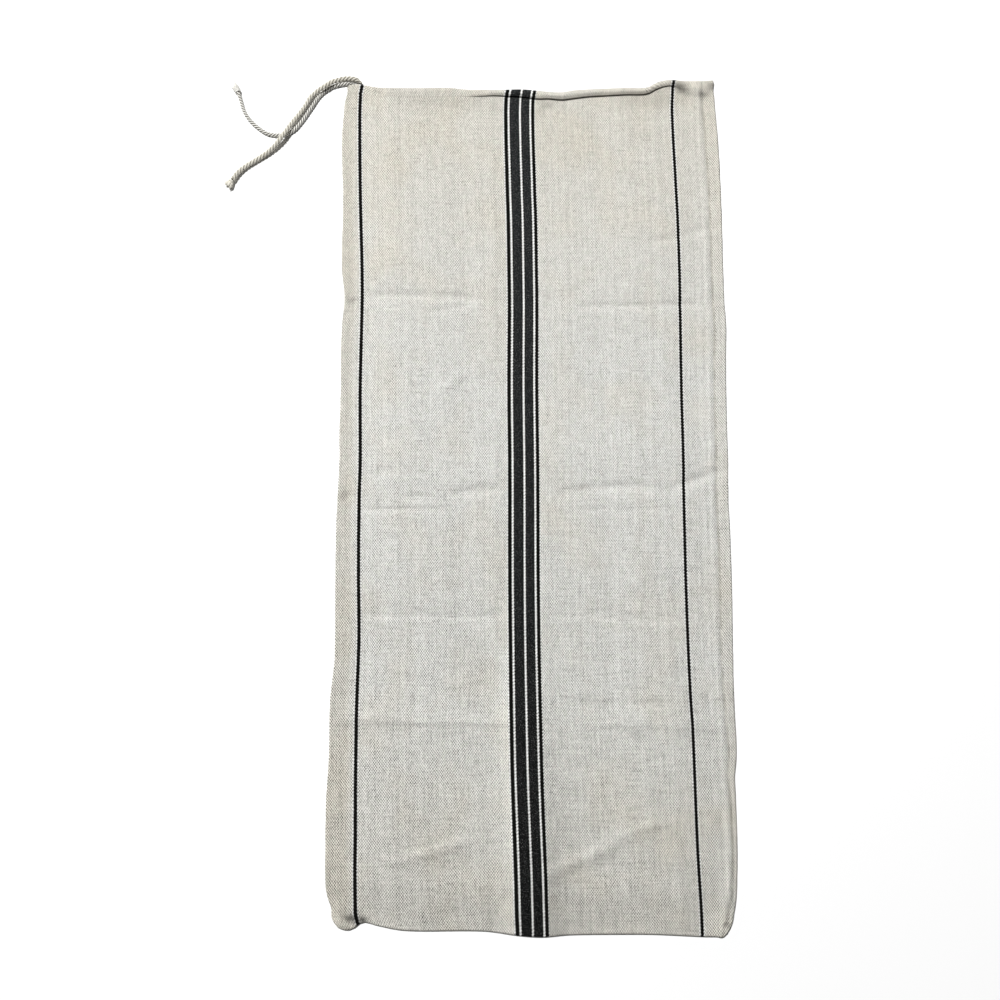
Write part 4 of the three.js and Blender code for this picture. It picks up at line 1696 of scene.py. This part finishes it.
    def height(self, side: Side, x: float, y: float, edges: Edges, room: float) -> float:
        """Gives the height of the middle of a layer's cloth.

        Args:
            side: The layer.
            x: Place across the sack.
            y: Place along the sack.
            edges: The edges of the row.
            room: How far the row stays in from its edges.

        Returns:
            The height above the floor.
        """
        raised = self.hem_flat * self.hem_near(side, x, y)
        to_side = min(x - edges.left, edges.right - x) - room
        to_edge = max(min(to_side, y - self.form.bottom.at(x) - self.inset), 0.0)
        middle = self.form.edge_radius + raised
        if side is Side.FRONT:
            edge_raise = raised * (1 - smooth(to_side / self.form.bottom_rise))
            outer = self.form.front(x, y, edges) + edge_raise - self.inset
        else:
            outer = raised + self.inset + self.back_relief(x, y, edges)
        return middle + (outer - middle) * self.rounding(to_edge)[1]

    def back_relief(self, x: float, y: float, edges: Edges) -> float:
        """Gives how far the back stands off the floor in its small waves and at its seam."""
        across, along, seed = self.back_waves
        waves = self.back_wave * (1 + ripple(x * across, y * along, seed))
        place, rise, half = self.back_groove
        groove = rise * bell(x - edges.left - place, half)
        to_side = min(x - edges.left, edges.right - x)
        return (waves + groove) * smooth((to_side - self.back_edge[0]) / self.back_edge[1])

    def spot(self, x: float, y: float, side: Side, along: float, painted_shading: float) -> Spot:
        """Gives a place in the cloth's own measure, in which stripes and threads run straight.

        Args:
            x: Place across the sack.
            y: Place along the sack.
            side: The layer.
            along: How far the place lies past the layer's last row, round the hem.
            painted_shading: The painted shade there, painted light below zero.

        Returns:
            The place.
        """
        left, middle, right = self.stripe_left.at(y), self.stripe_middle.at(y), self.stripe_right.at(y)
        if x < left:
            s = LEFT_LINE + x - left
        elif x < middle:
            s = LEFT_LINE * (middle - x) / (middle - left)
        elif x < right:
            s = RIGHT_LINE * (x - middle) / (right - middle)
        else:
            s = RIGHT_LINE + x - right
        return Spot(s, side.value * (y + self.cloth_start + along), painted_shading)

    def layer_rows(self, side: Side) -> tuple[list[list[Vector]], list[list[Spot]]]:
        """Works out one layer from the bottom fold to the end of its hem.

        Args:
            side: The layer.

        Returns:
            The points of its rows, and their places in the cloth's own measure.
        """
        points, spots = [], []
        for line in self.row_lines(side):
            y_left, y_right = line(SIDES[0].left), line(SIDES[0].right)
            edges = self.form.edges(y_left, y_right)
            room = self.inset + self.hem_flat * self.hem_near(side, SIDES[0].left, y_left)
            xs = self.columns(edges, room)
            ys = [line(x) for x in xs]
            points.append([Vector((x, y, self.height(side, x, y, edges, room))) for x, y in zip(xs, ys)])
            shadings = [self.painted_shading(side, x, y, edges.seam) for x, y in zip(xs, ys)]
            spots.append([self.spot(x, y, side, 0.0, painted_shading) for x, y, painted_shading in zip(xs, ys, shadings)])
        hems = [self.hem_points(side, x) for x in xs]
        for k in range(len(hems[0])):
            row, marks = [], []
            for x, y, hem in zip(xs, ys, hems):
                to_side = max(min(x - edges.left, edges.right - x) - room, 0.0)
                outward, upward = self.rounding(to_side)
                aside = outward * hem[k].out * (-1 if x < 0 else 1)
                off = upward * hem[k].out * side.value
                place = self.mouth(side, x) - hem[k].down
                row.append(Vector((x + aside, place, self.height(side, x, min(place, y), edges, room) + off)))
                lean = self.stripe_lean * (1 - hem[k].down / self.form.roll.at(x))
                # Painted shade under the hem's lip, with the front's painted shade and light added.
                painted_shading = self.hem_painted_shade(side, x, k)
                if side is Side.FRONT:
                    painted_shading += self.form.painted_shading(x, place, edges.seam)
                marks.append(self.spot(x - lean, y, side, hem[k].along, painted_shading))
            points.append(row)
            spots.append(marks)
        return points, spots

    def build(self, material: bpy.types.Material) -> bpy.types.Object:
        """Makes the panel from one grid and joins its sides.

        Args:
            material: The twill.

        Returns:
            The cloth.
        """
        front, front_spots = self.layer_rows(Side.FRONT)
        back, back_spots = self.layer_rows(Side.BACK)
        points = back[:0:-1] + front
        bottom = len(back) - 1
        rows, across = len(points), len(points[0])
        piece = Piece(self.name, self.finish.uv_map)
        # Each point carries its painted shade, painted light below zero, for the twill to read.
        painted_shading = piece.mesh.verts.layers.float.new(self.finish.painted_shading_name)
        grid = bmesh.ops.create_grid(piece.mesh, x_segments=across - 1, y_segments=rows - 1, size=1.0)
        where = {vert: grid_place(vert, across - 1, rows - 1) for vert in grid["verts"]}
        for vert, (i, j) in where.items():
            vert.co = points[j][i]
            vert[painted_shading] = (front_spots if j > bottom else back_spots)[abs(j - bottom)][i].painted_shading
        for face in piece.mesh.faces:
            face.smooth = True
            corners = [where[vert] for vert in face.verts]
            spots = front_spots if max(j for _, j in corners) > bottom else back_spots
            for loop in face.loops:
                i, j = where[loop.vert]
                loop[piece.uv].uv = spots[abs(j - bottom)][i][:2]
        sides = [vert for vert, (i, _) in where.items() if i in (0, across - 1)]
        self.thin_back(piece, where, across, bottom)
        bmesh.ops.remove_doubles(piece.mesh, verts=sides, dist=self.join)
        cloth = piece.finish(material, "sack_twill")
        wall = cloth.modifiers.new("thickness", "SOLIDIFY")
        wall.thickness = self.cloth
        wall.offset = 0.0
        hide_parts(self.node)
        return cloth

    def thin_back(self, piece: Piece, where: dict, across: int, bottom: int) -> None:
        """Leaves every fourth row and column in the back's plain middle, which is nearly flat.

        Args:
            piece: The panel.
            where: The column and row of each point.
            across: How many columns there are.
            bottom: The row at the bottom fold; the back's rows come before it.
        """
        first, last = len(LEFT_COLUMNS), across - len(SEAM_COLUMNS) - len(RIGHT_COLUMNS)
        low = 2 * TURN_STEPS + STRIP_STEPS + len(TUCK_STEPS) + HEM_BODY_ROWS
        high = bottom - len(ROUND_ROWS)
        edges = []
        for edge in piece.mesh.edges:
            (i, j), (k, m) = sorted(where[vert] for vert in edge.verts)
            if j == m:
                inside = BACK_EDGE <= i and k < across - BACK_EDGE and low < j < high
                dropped = inside and (j - low) % BACK_THINNING
            else:
                dropped = first < i < last and low <= j and m <= high and (i - first) % BACK_THINNING
            if dropped:
                edges.append(edge)
        bmesh.ops.dissolve_edges(piece.mesh, edges=edges, use_verts=True, use_face_split=False)


@dataclass
class Stitching:
    """The thread that closes the side seam."""

    cloth: SackCloth
    name: str = "sack_stitches"
    thread: float = 0.32 * MM
    seam_step: float = 4.6 * MM
    seam_width: float = 3.4 * MM
    slant: float = 2.3 * MM
    margin: float = 22 * MM
    steps: int = 4
    sides: int = 5

    def build(self, material: bpy.types.Material) -> bpy.types.Object:
        """Sews the seam.

        Args:
            material: The thread.

        Returns:
            The stitches.
        """
        piece = Piece(self.name, "yarn")
        form = self.cloth.form
        y = SIDES[0].y + self.margin
        while y < SIDES[-1].y - self.margin:
            edges = form.edges(y, y)
            middle = edges.seam + form.seam_groove[0]
            ends = [(middle + k * self.seam_width / 2, y - k * self.slant) for k in (-1, 1)]
            self.stitch(piece, ends, edges)
            y += self.seam_step
        piece.close()
        return piece.finish(material, "sack_twill")

    def stitch(self, piece: Piece, ends: Sequence[Pair], edges: Edges) -> None:
        """Lays one stitch over the front.

        Args:
            piece: The piece that it belongs to.
            ends: Where it goes into the cloth.
            edges: The edges of the row that it lies in.
        """
        (ax, ay), (bx, by) = ends
        points = []
        for k in range(self.steps + 1):
            t = k / self.steps
            x, y = ax + (bx - ax) * t, ay + (by - ay) * t
            rise = self.thread * (2.4 * math.sin(math.pi * t) - 0.9)
            points.append(Vector((x, y, self.cloth.form.front(x, y, edges) + rise)))
        piece.tube(points, [self.thread] * len(points), self.sides)


def main() -> None:
    """Builds the studio, the tie and the sack."""
    logging.basicConfig(level=logging.INFO, format="%(name)s %(message)s")
    studio = Studio()
    studio.place_camera()
    thick = TieCord(
        node="tie_cord_thick",
        knot_node="tie_knot_thick",
        route=THICK_ROUTE,
        diameter=6.8 * MM,
        pitch=16.5 * MM,
        length=0.241,
        tufts=3,
        tuft_length=11 * MM,
        tuft_spread=0.62,
        tuft_swell=1.45,
        wrap_turns=1.2,
        wrap_ring=0.62,
        seed=11,
        finish=YarnFinish(
            name="thick_yarn", light=linear(240, 237, 227), dark=linear(192, 186, 168), groove_shade=0.45
        ),
    )
    thin = TieCord(
        node="tie_cord_thin",
        knot_node="tie_knot_thin",
        route=THIN_ROUTE,
        diameter=5.2 * MM,
        pitch=13.0 * MM,
        length=0.227,
        tufts=4,
        tuft_length=11 * MM,
        tuft_spread=0.3,
        tuft_swell=1.75,
        knot_lean=0.25,
        wrap_turns=4.3,
        wrap_ring=1.1,
        seed=23,
        finish=YarnFinish(
            name="thin_yarn", light=linear(250, 249, 244), dark=linear(206, 203, 193), groove_shade=0.9
        ),
    )
    for cord in (thick, thin):
        cord.build(cord.finish.material())
    sack = SackCloth()
    cloth = sack.build(sack.finish.material())
    stitches = Stitching(sack).build(YarnFinish(name="sewing_thread").material())
    studio.light()
    studio.lay_floor()
    studio.stand_wall()


if __name__ == "__main__":
    main()
